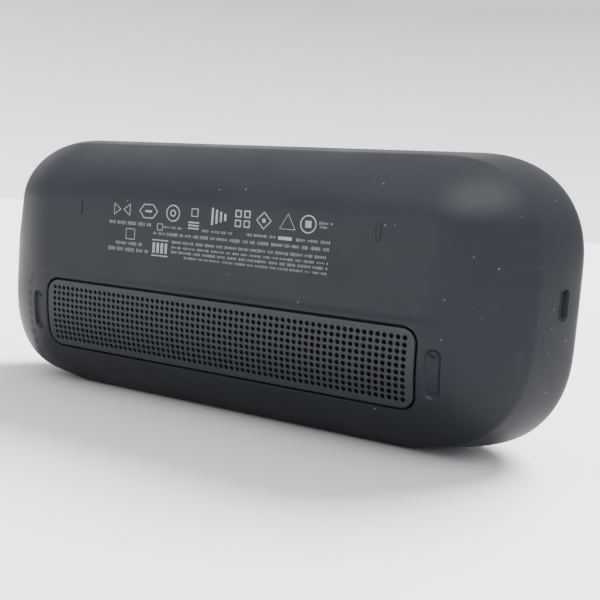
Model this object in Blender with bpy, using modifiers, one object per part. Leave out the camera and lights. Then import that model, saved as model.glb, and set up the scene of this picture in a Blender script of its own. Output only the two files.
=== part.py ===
"""Smart display: a pillow-shaped case with a screen in front and a perforated speaker grille behind.

The screen faces -Y, the grille faces +Y, +Z is up, and the foot pad stands on z = 0.
Left is -X and right is +X, as seen by someone looking at the screen. All sizes are in metres.
"""

from math import cos, pi, sin

import bmesh
import bpy
import numpy as np
from mathutils import Matrix, Vector

# ---------------------------------------------------------------- driving dimensions
DEPTH = 0.0584  # overall, from the front glass to the ribs on the back
RIB_HEIGHT = 0.0004
BACK_Y = DEPTH / 2 - RIB_HEIGHT
FRONT_Y = -DEPTH / 2
WALL = 0.0022  # moulded plastic wall
GAP = 0.0003  # clearance between neighbouring pieces

# A section of the case seen from the front: half width, top, low edge, corner radii.
CREASE = (0.1045, 0.0942, 0.0031, 0.0340, 0.0360)  # where the back meets the side band
GIRTH = (0.1130, 0.0966, 0.0016, 0.0350, 0.0352)  # the widest outline
RIM = (0.1023, 0.0887, 0.0086, 0.0286, 0.0286)  # the front edge of the bezel
GIRTH_Y = BACK_Y - 0.0319
RIM_Y = FRONT_Y + 0.0017
SPLIT = 0.63  # where shell and bezel part, as a share of the way from girth to rim
BAND_POWER = 1.3  # how the side band swells from the crease to the girth
SIDE_BOW = 0.006  # how far the sides bulge, as a share of the half width
CORNER_POWER = 2.35  # superellipse exponent of the corners, softer than a circle
UPPER_STEPS = 9
LOWER_STEPS = 15
TOP_STEPS = 8
SIDE_STEPS = 4

# The back surface: flat in the middle, rolling forward to the crease.
FLAT_HALF = 0.0744  # the back is flat as far as this from the centre
EDGE_DEPTH = 0.0137
EDGE_POWER = 2.0
FLAT_TOP = 0.0715
TOP_DEPTH = 0.0174
TOP_POWER = 2.0
CORNER_LOW = 0.0550  # above this height the side edges roll further
CORNER_DEPTH = 0.0035
ROLL_START = 0.0385  # below this height the back rolls forward over the grille
ROLL_SQUARE = 4.0
ROLL_CUBE = 180.0
LOW_EDGE = 0.0100  # below this height the back also rounds over to the foot's edge
LOW_ROUND = 0.0021
BACK_CENTRE_Z = 0.0539
BACK_SHARES = (0.30, 0.46, 0.60, 0.72, 0.82, 0.90, 0.96, 1.0)
BAND_SHARES = (0.12, 0.26, 0.42, 0.60, 0.80, 1.0)
FRONT_SHARES = (0.22, 0.43)
FOOT_SHARE = 0.43  # the foot's flat ends here, and slopes up to the split

# Features of the back
GRILLE_HALF = 0.0737
GRILLE_TOP = 0.0413
GRILLE_LOW = 0.0163
GRILLE_RADIUS = 0.0046
GROOVE = 0.0006  # dark groove round the grille
GRILLE_THICK = 0.0016
MESH_OVERLAP = 0.0022  # how far the cloth reaches past the opening, behind the wall
MESH_SINK = 0.0030  # the cloth clears the wall, which is deeper along Y where it slopes
RIB_X = 0.0592
RIB_Z = 0.0695
RIB_SIZE = (0.0059, 0.0015)
DIMPLE_X = 0.0792
DIMPLE_Z = 0.0284
DIMPLE_SIZE = (0.0150, 0.0052)
DIMPLE_DEPTH = 0.0008

# Foot: the low edge of the case dips to a flat, with an S at each end
FOOT_Z = 0.0006
FOOT_HALF = 0.0673
FOOT_FLARE = 0.0100
PAD_HALF = 0.0600
PAD_BACK = 0.0085
PAD_FRONT = -0.0115
PAD_THICK = 0.0014

# USB-C port in the left side
PORT_Y = 0.0045
PORT_Z = 0.0516
PORT_SIZE = (0.0090, 0.0032)
PORT_MOUTH = -0.1082
PORT_LENGTH = 0.0078

# Screen
GLASS_THICK = 0.0012
LCD_SIZE = (0.1600, 0.0620)
LCD_Z = 0.0462
TRAY_Y = (-0.0233, -0.0221)
TRAY_INSET = 0.0055

# Camera and shutter
CAMERA_Z = 0.0818
SHUTTER_OPEN_X = 0.0075
BLADE_Y = (-0.0275, -0.0268)

# Buttons on the top
BUTTON_Y = -0.0095
BUTTON_SIZE = (0.0120, 0.0048)
BUTTON_TOP = 0.0968
BUTTONS = {"volume_down": -0.058, "volume_up": -0.038, "mute": 0.050}

# Speakers
BAFFLE_Y = (0.0166, 0.0184)
BOX_FLOOR_Y = 0.0010
BOX_HALF = 0.0780
BOX_Z = (0.0125, 0.0435)
SPEAKER_Z = 0.0280
DRIVER_X = 0.0480
DRIVER_HOLE = (0.0380, 0.0200)
RADIATOR_HOLE = (0.0400, 0.0200)
FLANGE = 0.0026
CONE_MARGIN = 0.0016

# Mainboard
BOARD_Y = (0.0052, 0.0068)
BOARD_HALF = 0.0620
BOARD_Z = (0.0470, 0.0830)
BOARD_SCREWS = [(x, z) for z in (0.0510, 0.0790) for x in (-0.0570, 0.0570)]
CASE_SCREWS = [(x, z) for z in (0.0240, 0.0460, 0.0720) for x in (-0.0840, 0.0840)]

BOSS_SINK = 0.0014  # a boss ends this far under the back surface, inside the wall

ROUND = 20  # segments of a small round piece

COLOURS = {  # name: colour, roughness, metallic
    "slate_plastic": ((0.055, 0.060, 0.068), 0.55, 0.0),
    "grille_plastic": ((0.070, 0.074, 0.082), 0.50, 0.0),
    "black_plastic": ((0.012, 0.012, 0.013), 0.50, 0.0),
    "glass_black": ((0.008, 0.008, 0.010), 0.06, 0.0),
    "panel_dark": ((0.015, 0.016, 0.020), 0.20, 0.0),
    "steel": ((0.55, 0.55, 0.54), 0.35, 1.0),
    "aluminium": ((0.70, 0.71, 0.72), 0.40, 1.0),
    "circuit_board": ((0.010, 0.070, 0.035), 0.45, 0.0),
    "magnet_steel": ((0.20, 0.20, 0.21), 0.35, 1.0),
    "cone_paper": ((0.030, 0.030, 0.032), 0.80, 0.0),
    "rubber": ((0.020, 0.020, 0.020), 0.85, 0.0),
    "mesh_cloth": ((0.010, 0.010, 0.010), 0.90, 0.0),
    "polyimide": ((0.420, 0.170, 0.030), 0.40, 0.0),
    "chip_black": ((0.018, 0.018, 0.019), 0.60, 0.0),
    "thermal_grey": ((0.35, 0.38, 0.42), 0.70, 0.0),
    "lens_glass": ((0.010, 0.012, 0.030), 0.03, 0.0),
}


# ---------------------------------------------------------------- scene and materials
def clear_scene():
    for old in list(bpy.data.objects):
        bpy.data.objects.remove(old)


def collection(name):
    made = bpy.data.collections.new(name)
    bpy.context.scene.collection.children.link(made)
    return made


def material(name):
    made = bpy.data.materials.get(name)
    if made:
        return made
    colour, roughness, metallic = COLOURS[name]
    made = bpy.data.materials.new(name)
    made.use_nodes = True
    surface = made.node_tree.nodes["Principled BSDF"]
    surface.inputs["Base Color"].default_value = (*colour, 1.0)
    surface.inputs["Roughness"].default_value = roughness
    surface.inputs["Metallic"].default_value = metallic
    made.diffuse_color = (*colour, 1.0)
    return made


clear_scene()
PARTS = collection("smart_display")
CUTTERS = collection("cutters")


def add(name, mesh_builder, finish, location=(0, 0, 0), smooth=False):
    """A named part from a filled bmesh."""
    mesh = bpy.data.meshes.new(name)
    bmesh.ops.recalc_face_normals(mesh_builder, faces=mesh_builder.faces)
    mesh_builder.to_mesh(mesh)
    mesh_builder.free()
    made = bpy.data.objects.new(name, mesh)
    made.location = location
    made.data.materials.append(material(finish))
    PARTS.objects.link(made)
    if smooth:
        mesh.shade_smooth()
        mesh.set_sharp_from_angle(angle=0.6)
    return made


def add_cutter(name, mesh_builder):
    made = add(name, mesh_builder, "steel")
    PARTS.objects.unlink(made)
    CUTTERS.objects.link(made)
    made.hide_render = True
    made.display_type = "WIRE"
    return made


def combine(target, other, operation):
    boolean = target.modifiers.new(f"{operation.lower()} {other.name}", "BOOLEAN")
    boolean.operation = operation
    boolean.object = other
    return target


def bevel(target, width, segments=2):
    rounding = target.modifiers.new("rounded edges", "BEVEL")
    rounding.width = width
    rounding.segments = segments
    rounding.limit_method = "ANGLE"
    return target


# ---------------------------------------------------------------- simple solids
def box_mesh(low, high):
    low, high = Vector(low), Vector(high)
    made = bmesh.new()
    bmesh.ops.create_cube(made, size=1.0)
    bmesh.ops.scale(made, vec=high - low, verts=made.verts)
    bmesh.ops.translate(made, vec=(low + high) / 2, verts=made.verts)
    return made


def box(name, low, high, finish, edge=0.0):
    made = add(name, box_mesh(low, high), finish)
    if edge:
        bevel(made, edge)
    return made


AXIS_TURN = {
    "X": Matrix.Rotation(pi / 2, 3, "Y"),
    "Y": Matrix.Rotation(-pi / 2, 3, "X"),
    "Z": Matrix.Identity(3),
}


def cylinder_mesh(radius, start, end, axis, segments=ROUND):
    """A solid cylinder from start to end, two points apart along axis."""
    start, end = Vector(start), Vector(end)
    made = bmesh.new()
    bmesh.ops.create_cone(
        made,
        cap_ends=True,
        segments=segments,
        radius1=radius,
        radius2=radius,
        depth=(end - start).length,
    )
    bmesh.ops.rotate(made, matrix=AXIS_TURN[axis], verts=made.verts)
    bmesh.ops.translate(made, vec=(start + end) / 2, verts=made.verts)
    return made


def stadium_points(length, width, steps=8):
    """The outline of a slot: length overall, two half circles of the width."""
    radius = width / 2
    reach = length / 2 - radius
    turns = [pi * step / steps for step in range(steps + 1)]
    right = [(reach + radius * sin(turn), -radius * cos(turn)) for turn in turns]
    left = [(-reach - radius * sin(turn), radius * cos(turn)) for turn in turns]
    return right + left


def rounded_points(half_x, low_z, high_z, radius, steps=5, side_steps=1):
    """The outline of a rectangle with round corners; its upright sides have side_steps pieces."""
    reach_x, lower, upper = half_x - radius, low_z + radius, high_z - radius
    corners = ((reach_x, upper), (-reach_x, upper), (-reach_x, lower), (reach_x, lower))
    points = []
    for quarter, (centre_x, centre_z) in enumerate(corners):
        for step in range(steps + 1):
            turn = pi / 2 * (quarter + step / steps)
            points.append((centre_x + radius * cos(turn), centre_z + radius * sin(turn)))
        for step in range(1, side_steps):
            share = step / side_steps
            if quarter == 1:
                points.append((-half_x, upper + (lower - upper) * share))
            if quarter == 3:
                points.append((half_x, lower + (upper - lower) * share))
    return points


def prism_mesh(points, place, start, end):
    """A flat outline pushed from start to end; place turns (a, b, t) into a point."""
    made = bmesh.new()
    rings = [[made.verts.new(place(a, b, t)) for a, b in points] for t in (start, end)]
    fill_between(made, rings)
    made.faces.new(rings[0])
    made.faces.new(rings[-1])
    return made


def along_y(centre_x=0.0, centre_z=0.0):
    return lambda a, b, t: (centre_x + a, t, centre_z + b)


def along_y_upright(centre_x, centre_z):
    return lambda a, b, t: (centre_x + b, t, centre_z + a)


def along_z(centre_x, centre_y):
    return lambda a, b, t: (centre_x + a, centre_y + b, t)


def along_x_upright(centre_y, centre_z):
    return lambda a, b, t: (t, centre_y + b, centre_z + a)


# ---------------------------------------------------------------- lofts of the case
def fill_between(made, rings, closed=False):
    """Quads between rings of equal length; closed joins the last ring to the first."""
    pairs = list(zip(rings, rings[1:]))
    if closed:
        pairs.append((rings[-1], rings[0]))
    for ring, following in pairs:
        for index in range(len(ring)):
            after = (index + 1) % len(ring)
            made.faces.new((ring[index], ring[after], following[after], following[index]))


def corner_offsets(radius, steps):
    turns = [pi / 2 * step / steps for step in range(steps + 1)]
    power = 2 / CORNER_POWER
    return [(radius * cos(turn) ** power, radius * abs(sin(turn)) ** power) for turn in turns]


def outline(section, foot=0.0):
    """The points of a section, from the right side over the top and round, as an (n, 2) array.

    foot is how far the low edge dips to the foot's flat, from 0 to 1.
    """
    half, top, low, top_radius, low_radius = section
    upper = corner_offsets(top_radius, UPPER_STEPS)
    lower = corner_offsets(low_radius, LOWER_STEPS)
    top_x, low_x = half - top_radius, half - low_radius
    top_z, low_z = top - top_radius, low + low_radius
    points = [(top_x + dx, top_z + dz) for dx, dz in upper]
    points += [(top_x * (1 - 2 * step / TOP_STEPS), top) for step in range(1, TOP_STEPS)]
    points += [(-top_x - dx, top_z + dz) for dx, dz in reversed(upper)]
    points += [
        (-half, top_z + (low_z - top_z) * step / SIDE_STEPS) for step in range(1, SIDE_STEPS)
    ]
    points += [(-low_x - dx, low_z - dz) for dx, dz in lower]
    points += [(low_x * (2 * step / TOP_STEPS - 1), low) for step in range(1, TOP_STEPS)]
    points += [(low_x + dx, low_z - dz) for dx, dz in reversed(lower)]
    points += [
        (half, low_z + (top_z - low_z) * step / SIDE_STEPS) for step in range(1, SIDE_STEPS)
    ]
    made = np.array(points)
    middle, reach = (top + low) / 2, (top - low) / 2
    made[:, 0] *= 1 + SIDE_BOW * (1 - ((made[:, 1] - middle) / reach) ** 2)
    away = np.clip((np.abs(made[:, 0]) - FOOT_HALF) / FOOT_FLARE, 0, 1)
    dip = foot * (1 - away * away * (3 - 2 * away)) * (made[:, 1] < middle)
    made[:, 1] += (FOOT_Z - made[:, 1]) * dip
    return made


def shrink(section, inset):
    half, top, low, top_radius, low_radius = section
    return (half - inset, top - inset, low + inset, top_radius - inset, low_radius - inset)


def back_y(x, z):
    """Where the back surface lies above a point (x, z)."""
    beyond = np.clip((np.abs(x) - FLAT_HALF) / (CREASE[0] - FLAT_HALF), 0, None)
    above = np.clip((z - FLAT_TOP) / (CREASE[1] - FLAT_TOP), 0, None)
    corner = np.clip((z - CORNER_LOW) / (CREASE[1] - CORNER_LOW), 0, None)
    below = np.clip(ROLL_START - z, 0, None)
    low = np.clip((LOW_EDGE - z) / LOW_EDGE, 0, None)
    drop = EDGE_DEPTH * beyond**EDGE_POWER + TOP_DEPTH * above**TOP_POWER + LOW_ROUND * low**2
    drop += CORNER_DEPTH * corner * beyond**2
    return BACK_Y - drop - ROLL_SQUARE * below**2 - ROLL_CUBE * below**3


def back_rings(shares, sink=0.0):
    """Rings on the back surface, from near its centre out to the crease."""
    edge = outline(CREASE, foot=1.0)
    centre = np.array([0.0, BACK_CENTRE_Z])
    rings = []
    for share in shares:
        flat = centre + (edge - centre) * share
        rings.append(np.column_stack([flat[:, 0], back_y(flat[:, 0], flat[:, 1]) - sink, flat[:, 1]]))
    return rings


def band_rings(shares):
    """Rings on the side band: it leaves the crease steeply and is upright at the girth."""
    crease = back_rings((1.0,))[0]
    girth = outline(GIRTH, foot=1.0)
    rings = []
    for share in shares:
        flat = girth + (crease[:, (0, 2)] - girth) * (1 - share) ** BAND_POWER
        y = crease[:, 1] + (GIRTH_Y - crease[:, 1]) * share
        rings.append(np.column_stack([flat[:, 0], y, flat[:, 1]]))
    return rings


def front_section(share, inset=0.0):
    """The outer section between the girth (0) and the rim (1)."""
    mixed = [wide + (narrow - wide) * share**2 for wide, narrow in zip(GIRTH, RIM)]
    return shrink(mixed, inset)


def flat_ring(section, y, foot=0.0):
    flat = outline(section, foot)
    return np.column_stack([flat[:, 0], np.full(len(flat), y), flat[:, 1]])


def front_ring(share, inset=0.0):
    foot = 1.0 if share <= FOOT_SHARE else 0.0
    return flat_ring(front_section(share, inset), GIRTH_Y + (RIM_Y - GIRTH_Y) * share, foot)


def loft_mesh(rings, cap_first=False, cap_last=False, closed=False):
    made = bmesh.new()
    rings = [[made.verts.new(point) for point in ring] for ring in rings]
    fill_between(made, rings, closed)
    if cap_first:
        made.faces.new(rings[0])
    if cap_last:
        made.faces.new(rings[-1])
    return made


def thicken(target, thickness):
    """Solidify towards the inside of the case."""
    solidify = target.modifiers.new("wall", "SOLIDIFY")
    solidify.thickness = thickness
    solidify.offset = -1.0
    solidify.use_even_offset = True
    return target


# ---------------------------------------------------------------- the case
def grille_outline(grow):
    """The grille's outline grown all round, or shrunk where grow is negative."""
    radius = max(GRILLE_RADIUS + grow, 0.0004)
    low, top = GRILLE_LOW - grow, GRILLE_TOP + grow
    return rounded_points(GRILLE_HALF + grow, low, top, radius, side_steps=6)


def grille_skin(grow, sink):
    """A sheet of the grille's outline that follows the back surface, sink below it."""
    half_height = (GRILLE_TOP - GRILLE_LOW) / 2 + grow
    rings = []
    for share in (0.0, 0.25, 0.5, 0.75, 0.92):
        flat = grille_outline(grow - half_height * share)
        rings.append([(x, float(back_y(x, z)) - sink, z) for x, z in flat])
    return loft_mesh(rings, cap_last=True)


def boss(shell, name, x, z, front_y, radius, hole_radius, hole_depth):
    """A screw boss from the back wall to front_y, with a blind hole from the front."""
    rear = float(back_y(x, z)) - BOSS_SINK
    solid = cylinder_mesh(radius, (x, front_y, z), (x, rear, z), "Y")
    combine(shell, add_cutter(f"{name}_solid", solid), "UNION")
    hole = cylinder_mesh(hole_radius, (x, front_y - 0.001, z), (x, front_y + hole_depth, z), "Y", 14)
    combine(shell, add_cutter(f"{name}_hole", hole), "DIFFERENCE")


def make_rear_shell():
    rings = back_rings(BACK_SHARES) + band_rings(BAND_SHARES)
    rings += [front_ring(share) for share in (*FRONT_SHARES, SPLIT)]
    shell = add("rear_shell", loft_mesh(rings, cap_first=True), "slate_plastic", smooth=True)
    thicken(shell, WALL)
    for side in (-1, 1):
        rib = prism_mesh(
            stadium_points(*RIB_SIZE, 5),
            along_y_upright(side * RIB_X, RIB_Z),
            BACK_Y - WALL / 2,
            BACK_Y + RIB_HEIGHT,
        )
        combine(shell, add_cutter(f"rib_{side}", rib), "UNION")
        dimple = prism_mesh(
            stadium_points(*DIMPLE_SIZE, 6),
            along_y_upright(side * DIMPLE_X, DIMPLE_Z),
            float(back_y(DIMPLE_X, DIMPLE_Z)) - DIMPLE_DEPTH,
            BACK_Y + 0.01,
        )
        combine(shell, add_cutter(f"dimple_{side}", dimple), "DIFFERENCE")
    opening = prism_mesh(grille_outline(GROOVE), along_y(), 0.015, BACK_Y + 0.01)
    combine(shell, add_cutter("grille_opening", opening), "DIFFERENCE")
    slot = stadium_points(PORT_SIZE[0] + 2 * GAP, PORT_SIZE[1] + 2 * GAP, 6)
    port = prism_mesh(slot, along_x_upright(PORT_Y, PORT_Z), -0.120, -0.100)
    combine(shell, add_cutter("port_opening", port), "DIFFERENCE")
    recess = box_mesh(
        (-PAD_HALF - GAP, PAD_FRONT - GAP, -0.001),
        (PAD_HALF + GAP, PAD_BACK + GAP, PAD_THICK + GAP),
    )
    combine(shell, add_cutter("pad_recess", recess), "DIFFERENCE")
    for name, x in BUTTONS.items():
        hole = stadium_points(BUTTON_SIZE[0] + 2 * GAP, BUTTON_SIZE[1] + 2 * GAP, 6)
        window = prism_mesh(hole, along_z(x, BUTTON_Y), 0.088, 0.099)
        combine(shell, add_cutter(f"{name}_window", window), "DIFFERENCE")
    for number, (x, z) in enumerate(CASE_SCREWS, 1):
        boss(shell, f"case_boss_{number}", x, z, TRAY_Y[1] + GAP, 0.0031, 0.0016, 0.011)
    for number, (x, z) in enumerate(BOARD_SCREWS, 1):
        boss(shell, f"board_boss_{number}", x, z, BOARD_Y[1] + GAP, 0.0025, 0.0013, 0.008)
    return shell


def make_front_bezel():
    parting = SPLIT + 0.012
    shares = (parting, 0.72, 0.81, 0.90, 1.0)
    lip_y = FRONT_Y + 0.0004
    pocket_y = FRONT_Y + GLASS_THICK + GAP
    ledge_y = pocket_y + 0.0013
    rings = [front_ring(share) for share in shares]
    rings.append(flat_ring(shrink(RIM, 0.0005), (RIM_Y + lip_y) / 2))
    rings.append(flat_ring(shrink(RIM, 0.0014), lip_y))
    rings.append(flat_ring(shrink(RIM, 0.0024), lip_y))
    rings.append(flat_ring(shrink(RIM, 0.0024), pocket_y))
    rings.append(flat_ring(shrink(RIM, 0.0044), pocket_y))
    rings.append(flat_ring(shrink(RIM, 0.0044), ledge_y))
    rings += [front_ring(share, WALL) for share in reversed(shares[:-2])]
    bezel = add("front_bezel", loft_mesh(rings, closed=True), "black_plastic", smooth=True)
    slot = box_mesh(
        (-0.0023, BLADE_Y[0] - GAP, 0.080), (SHUTTER_OPEN_X + 0.0023, BLADE_Y[1] + 2 * GAP, 0.095)
    )
    combine(bezel, add_cutter("shutter_slot", slot), "DIFFERENCE")
    return bezel


def make_front_glass():
    edge = shrink(RIM, 0.0024 + GAP)
    soft = 0.0003
    rings = [
        flat_ring(edge, FRONT_Y + GLASS_THICK),
        flat_ring(edge, FRONT_Y + soft),
        flat_ring(shrink(edge, soft), FRONT_Y),
    ]
    return add("front_glass", loft_mesh(rings, True, True), "glass_black")


def make_rear_grille():
    panel = add("rear_grille", grille_skin(0.0, 0.0), "grille_plastic")
    return thicken(panel, GRILLE_THICK)


def make_acoustic_mesh():
    cloth = add("acoustic_mesh", grille_skin(MESH_OVERLAP, MESH_SINK), "mesh_cloth")
    return thicken(cloth, 0.0004)


def make_foot_pad():
    box("foot_pad", (-PAD_HALF, PAD_FRONT, 0.0), (PAD_HALF, PAD_BACK, PAD_THICK), "rubber")


# ---------------------------------------------------------------- screen, camera and shutter
def make_screen():
    half_x, half_z = LCD_SIZE[0] / 2, LCD_SIZE[1] / 2
    low, high = LCD_Z - half_z, LCD_Z + half_z
    box("display_panel", (-half_x, -0.0275, low), (half_x, -0.0261, high), "panel_dark")
    box("backlight_unit", (-half_x, -0.0258, low), (half_x, -0.0236, high), "steel", 0.0003)
    rings = [flat_ring(shrink(RIM, TRAY_INSET), y) for y in TRAY_Y]
    tray = add("display_tray", loft_mesh(rings, True, True), "aluminium")
    for number, (x, z) in enumerate(CASE_SCREWS, 1):
        hole = cylinder_mesh(0.0016, (x, -0.026, z), (x, -0.020, z), "Y", 14)
        combine(tray, add_cutter(f"tray_hole_{number}", hole), "DIFFERENCE")
    notch = box_mesh((-0.0070, -0.026, 0.0780), (0.0070, -0.020, 0.0900))
    combine(tray, add_cutter("camera_notch", notch), "DIFFERENCE")
    window = prism_mesh(stadium_points(0.022, 0.004, 5), along_y(0.041, 0.0185), -0.026, -0.020)
    combine(tray, add_cutter("flex_window", window), "DIFFERENCE")


def make_camera():
    half = 0.0032
    module = box(
        "camera_module",
        (-half, -0.0255, CAMERA_Z - half),
        (half, -0.0205, CAMERA_Z + half),
        "black_plastic",
    )
    barrel = cylinder_mesh(0.0022, (0, -0.0264, CAMERA_Z), (0, -0.0252, CAMERA_Z), "Y")
    combine(module, add_cutter("camera_barrel", barrel), "UNION")
    seat = cylinder_mesh(0.0017, (0, -0.0270, CAMERA_Z), (0, -0.0258, CAMERA_Z), "Y")
    combine(module, add_cutter("lens_seat", seat), "DIFFERENCE")
    lens = cylinder_mesh(0.0014, (0, -0.0263, CAMERA_Z), (0, -0.0261, CAMERA_Z), "Y")
    add("camera_lens", lens, "lens_glass", smooth=True)
    box("light_sensor", (-0.021, -0.0262, 0.0795), (-0.015, -0.0248, 0.0835), "chip_black")


def make_shutter():
    """The blade hangs between glass and camera; its knob is on the bezel's top edge."""
    x = SHUTTER_OPEN_X
    shutter = box(
        "camera_shutter",
        (x - 0.0040, BLADE_Y[0], 0.0786),
        (x + 0.0040, BLADE_Y[1], 0.0838),
        "black_plastic",
    )
    stem = box_mesh((x - 0.0020, BLADE_Y[0], 0.0830), (x + 0.0020, BLADE_Y[1], 0.0902))
    combine(shutter, add_cutter("shutter_stem", stem), "UNION")
    knob = prism_mesh(
        stadium_points(0.0068, 0.0024, 5), along_z(x, -0.02695), 0.0898, 0.0908
    )
    combine(shutter, add_cutter("shutter_knob", knob), "UNION")


# ---------------------------------------------------------------- buttons and microphones
def make_buttons():
    flange_z = (BUTTON_TOP - 0.0048, BUTTON_TOP - 0.0040)
    board_z = (BUTTON_TOP - 0.0091, BUTTON_TOP - 0.0083)
    stem_z = (BUTTON_TOP - 0.0057, BUTTON_TOP - 0.0044)
    switch_top = BUTTON_TOP - 0.0065
    microphone_z = (BUTTON_TOP - 0.0059, BUTTON_TOP - 0.0049)
    for name, x in BUTTONS.items():
        cap = prism_mesh(
            stadium_points(*BUTTON_SIZE, 6), along_z(0, 0), flange_z[0] - BUTTON_TOP, 0.0
        )
        button = add(f"{name}_button", cap, "slate_plastic", (x, BUTTON_Y, BUTTON_TOP))
        rim = prism_mesh(
            stadium_points(BUTTON_SIZE[0] + 0.0016, BUTTON_SIZE[1] + 0.0016, 6),
            along_z(x, BUTTON_Y),
            *flange_z,
        )
        combine(button, add_cutter(f"{name}_flange", rim), "UNION")
        stem = cylinder_mesh(0.0012, (x, BUTTON_Y, stem_z[0]), (x, BUTTON_Y, stem_z[1]), "Z", 12)
        combine(button, add_cutter(f"{name}_stem", stem), "UNION")
        box(
            f"{name}_switch",
            (x - 0.0025, BUTTON_Y - 0.0018, board_z[1] + 0.0002),
            (x + 0.0025, BUTTON_Y + 0.0018, switch_top),
            "steel",
        )
    box("button_board", (-0.066, -0.0135, board_z[0]), (0.060, -0.0055, board_z[1]), "circuit_board")
    for side, name in ((-1, "left"), (1, "right")):
        middle = side * 0.076
        box(
            f"{name}_microphone",
            (middle - 0.004, -0.006, microphone_z[0]),
            (middle + 0.004, 0.000, microphone_z[1]),
            "circuit_board",
        )


# ---------------------------------------------------------------- speakers
def ring_mesh(outer, inner, place, start, end, steps=8):
    """A flat stadium ring, as a loft closed on itself."""
    made = bmesh.new()
    rings = [
        [made.verts.new(place(a, b, t)) for a, b in stadium_points(*size, steps)]
        for size, t in ((outer, start), (outer, end), (inner, end), (inner, start))
    ]
    fill_between(made, rings, closed=True)
    return made


def grown(size, by):
    return (size[0] + by, size[1] + by)


def make_speaker_housing():
    box_low = (-BOX_HALF, BOX_FLOOR_Y, BOX_Z[0])
    box_high = (BOX_HALF, BAFFLE_Y[0] - GAP, BOX_Z[1])
    speaker_box = box("speaker_box", box_low, box_high, "black_plastic")
    wall = 0.0018
    inside = box_mesh(
        (-BOX_HALF + wall, BOX_FLOOR_Y + wall, BOX_Z[0] + wall),
        (BOX_HALF - wall, BAFFLE_Y[1], BOX_Z[1] - wall),
    )
    combine(speaker_box, add_cutter("box_inside", inside), "DIFFERENCE")
    baffle = box(
        "speaker_baffle",
        (-BOX_HALF, BAFFLE_Y[0], BOX_Z[0]),
        (BOX_HALF, BAFFLE_Y[1], BOX_Z[1]),
        "black_plastic",
    )
    holes = ((-DRIVER_X, DRIVER_HOLE), (0.0, RADIATOR_HOLE), (DRIVER_X, DRIVER_HOLE))
    for number, (x, size) in enumerate(holes, 1):
        hole = prism_mesh(stadium_points(*size), along_y(x, SPEAKER_Z), 0.010, 0.022)
        combine(baffle, add_cutter(f"baffle_hole_{number}", hole), "DIFFERENCE")


def make_driver(name, x):
    place = along_y(x, SPEAKER_Z)
    flange_y = (BAFFLE_Y[1] + GAP, BAFFLE_Y[1] + GAP + 0.0009)
    basket_size = grown(DRIVER_HOLE, -2 * GAP)
    inner_size = grown(basket_size, -0.0016)
    flange = ring_mesh(grown(DRIVER_HOLE, FLANGE), inner_size, place, *flange_y)
    frame = add(f"{name}_driver_frame", flange, "steel")
    floor_y = 0.0088
    basket = prism_mesh(stadium_points(*basket_size), place, floor_y, flange_y[0] + 0.0002)
    combine(frame, add_cutter(f"{name}_basket", basket), "UNION")
    hollow = prism_mesh(stadium_points(*inner_size), place, floor_y + 0.001, 0.030)
    combine(frame, add_cutter(f"{name}_basket_inside", hollow), "DIFFERENCE")
    magnet = cylinder_mesh(0.0080, (x, 0.0033, SPEAKER_Z), (x, floor_y - GAP, SPEAKER_Z), "Y", 28)
    add(f"{name}_driver_magnet", magnet, "magnet_steel", smooth=True)
    cone_size = grown(inner_size, -CONE_MARGIN)
    cone = prism_mesh(stadium_points(*cone_size), place, 0.0160, 0.0172)
    mover = add(f"{name}_driver_cone", cone, "cone_paper")
    coil = cylinder_mesh(0.0045, (x, 0.0125, SPEAKER_Z), (x, 0.0165, SPEAKER_Z), "Y", 16)
    combine(mover, add_cutter(f"{name}_coil", coil), "UNION")


def make_radiator():
    place = along_y(0.0, SPEAKER_Z)
    flange_y = (BAFFLE_Y[1] + GAP, BAFFLE_Y[1] + GAP + 0.0009)
    inner_size = grown(RADIATOR_HOLE, -0.0022)
    flange = ring_mesh(grown(RADIATOR_HOLE, FLANGE), inner_size, place, *flange_y)
    frame = add("radiator_frame", flange, "steel")
    collar = ring_mesh(grown(RADIATOR_HOLE, -2 * GAP), inner_size, place, 0.0150, flange_y[0] + 0.0002)
    combine(frame, add_cutter("radiator_collar", collar), "UNION")
    plate = prism_mesh(stadium_points(*grown(inner_size, -CONE_MARGIN)), place, 0.0158, 0.0170)
    add("radiator_plate", plate, "cone_paper")


# ---------------------------------------------------------------- electronics
def make_mainboard():
    board = box(
        "mainboard",
        (-BOARD_HALF, BOARD_Y[0], BOARD_Z[0]),
        (BOARD_HALF, BOARD_Y[1], BOARD_Z[1]),
        "circuit_board",
    )
    for number, (x, z) in enumerate(BOARD_SCREWS, 1):
        hole = cylinder_mesh(0.0013, (x, 0.000, z), (x, 0.010, z), "Y", 14)
        combine(board, add_cutter(f"board_hole_{number}", hole), "DIFFERENCE")
    face = BOARD_Y[0] - 0.0002
    shield = box("processor_shield", (-0.030, face - 0.0026, 0.052), (0.006, face, 0.078), "steel")
    inside = box_mesh((-0.0297, face - 0.0023, 0.0523), (0.0057, face + 0.001, 0.0777))
    combine(shield, add_cutter("shield_inside", inside), "DIFFERENCE")
    box("processor_chip", (-0.020, face - 0.0013, 0.057), (-0.004, face, 0.073), "chip_black")
    box("thermal_pad", (-0.020, face - 0.0035, 0.057), (-0.004, face - 0.0029, 0.073), "thermal_grey")
    box("heat_spreader", (-0.048, face - 0.0048, 0.0505), (0.024, face - 0.0038, 0.0765), "aluminium")
    box("memory_chip", (-0.050, face - 0.0010, 0.060), (-0.036, face, 0.070), "chip_black")
    rear = BOARD_Y[1] + 0.0002
    box("audio_amplifier", (0.020, rear, 0.054), (0.027, rear + 0.0009, 0.061), "chip_black")
    box("power_inductor", (-0.052, rear, 0.054), (-0.045, rear + 0.0030, 0.061), "magnet_steel", 0.0004)


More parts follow.
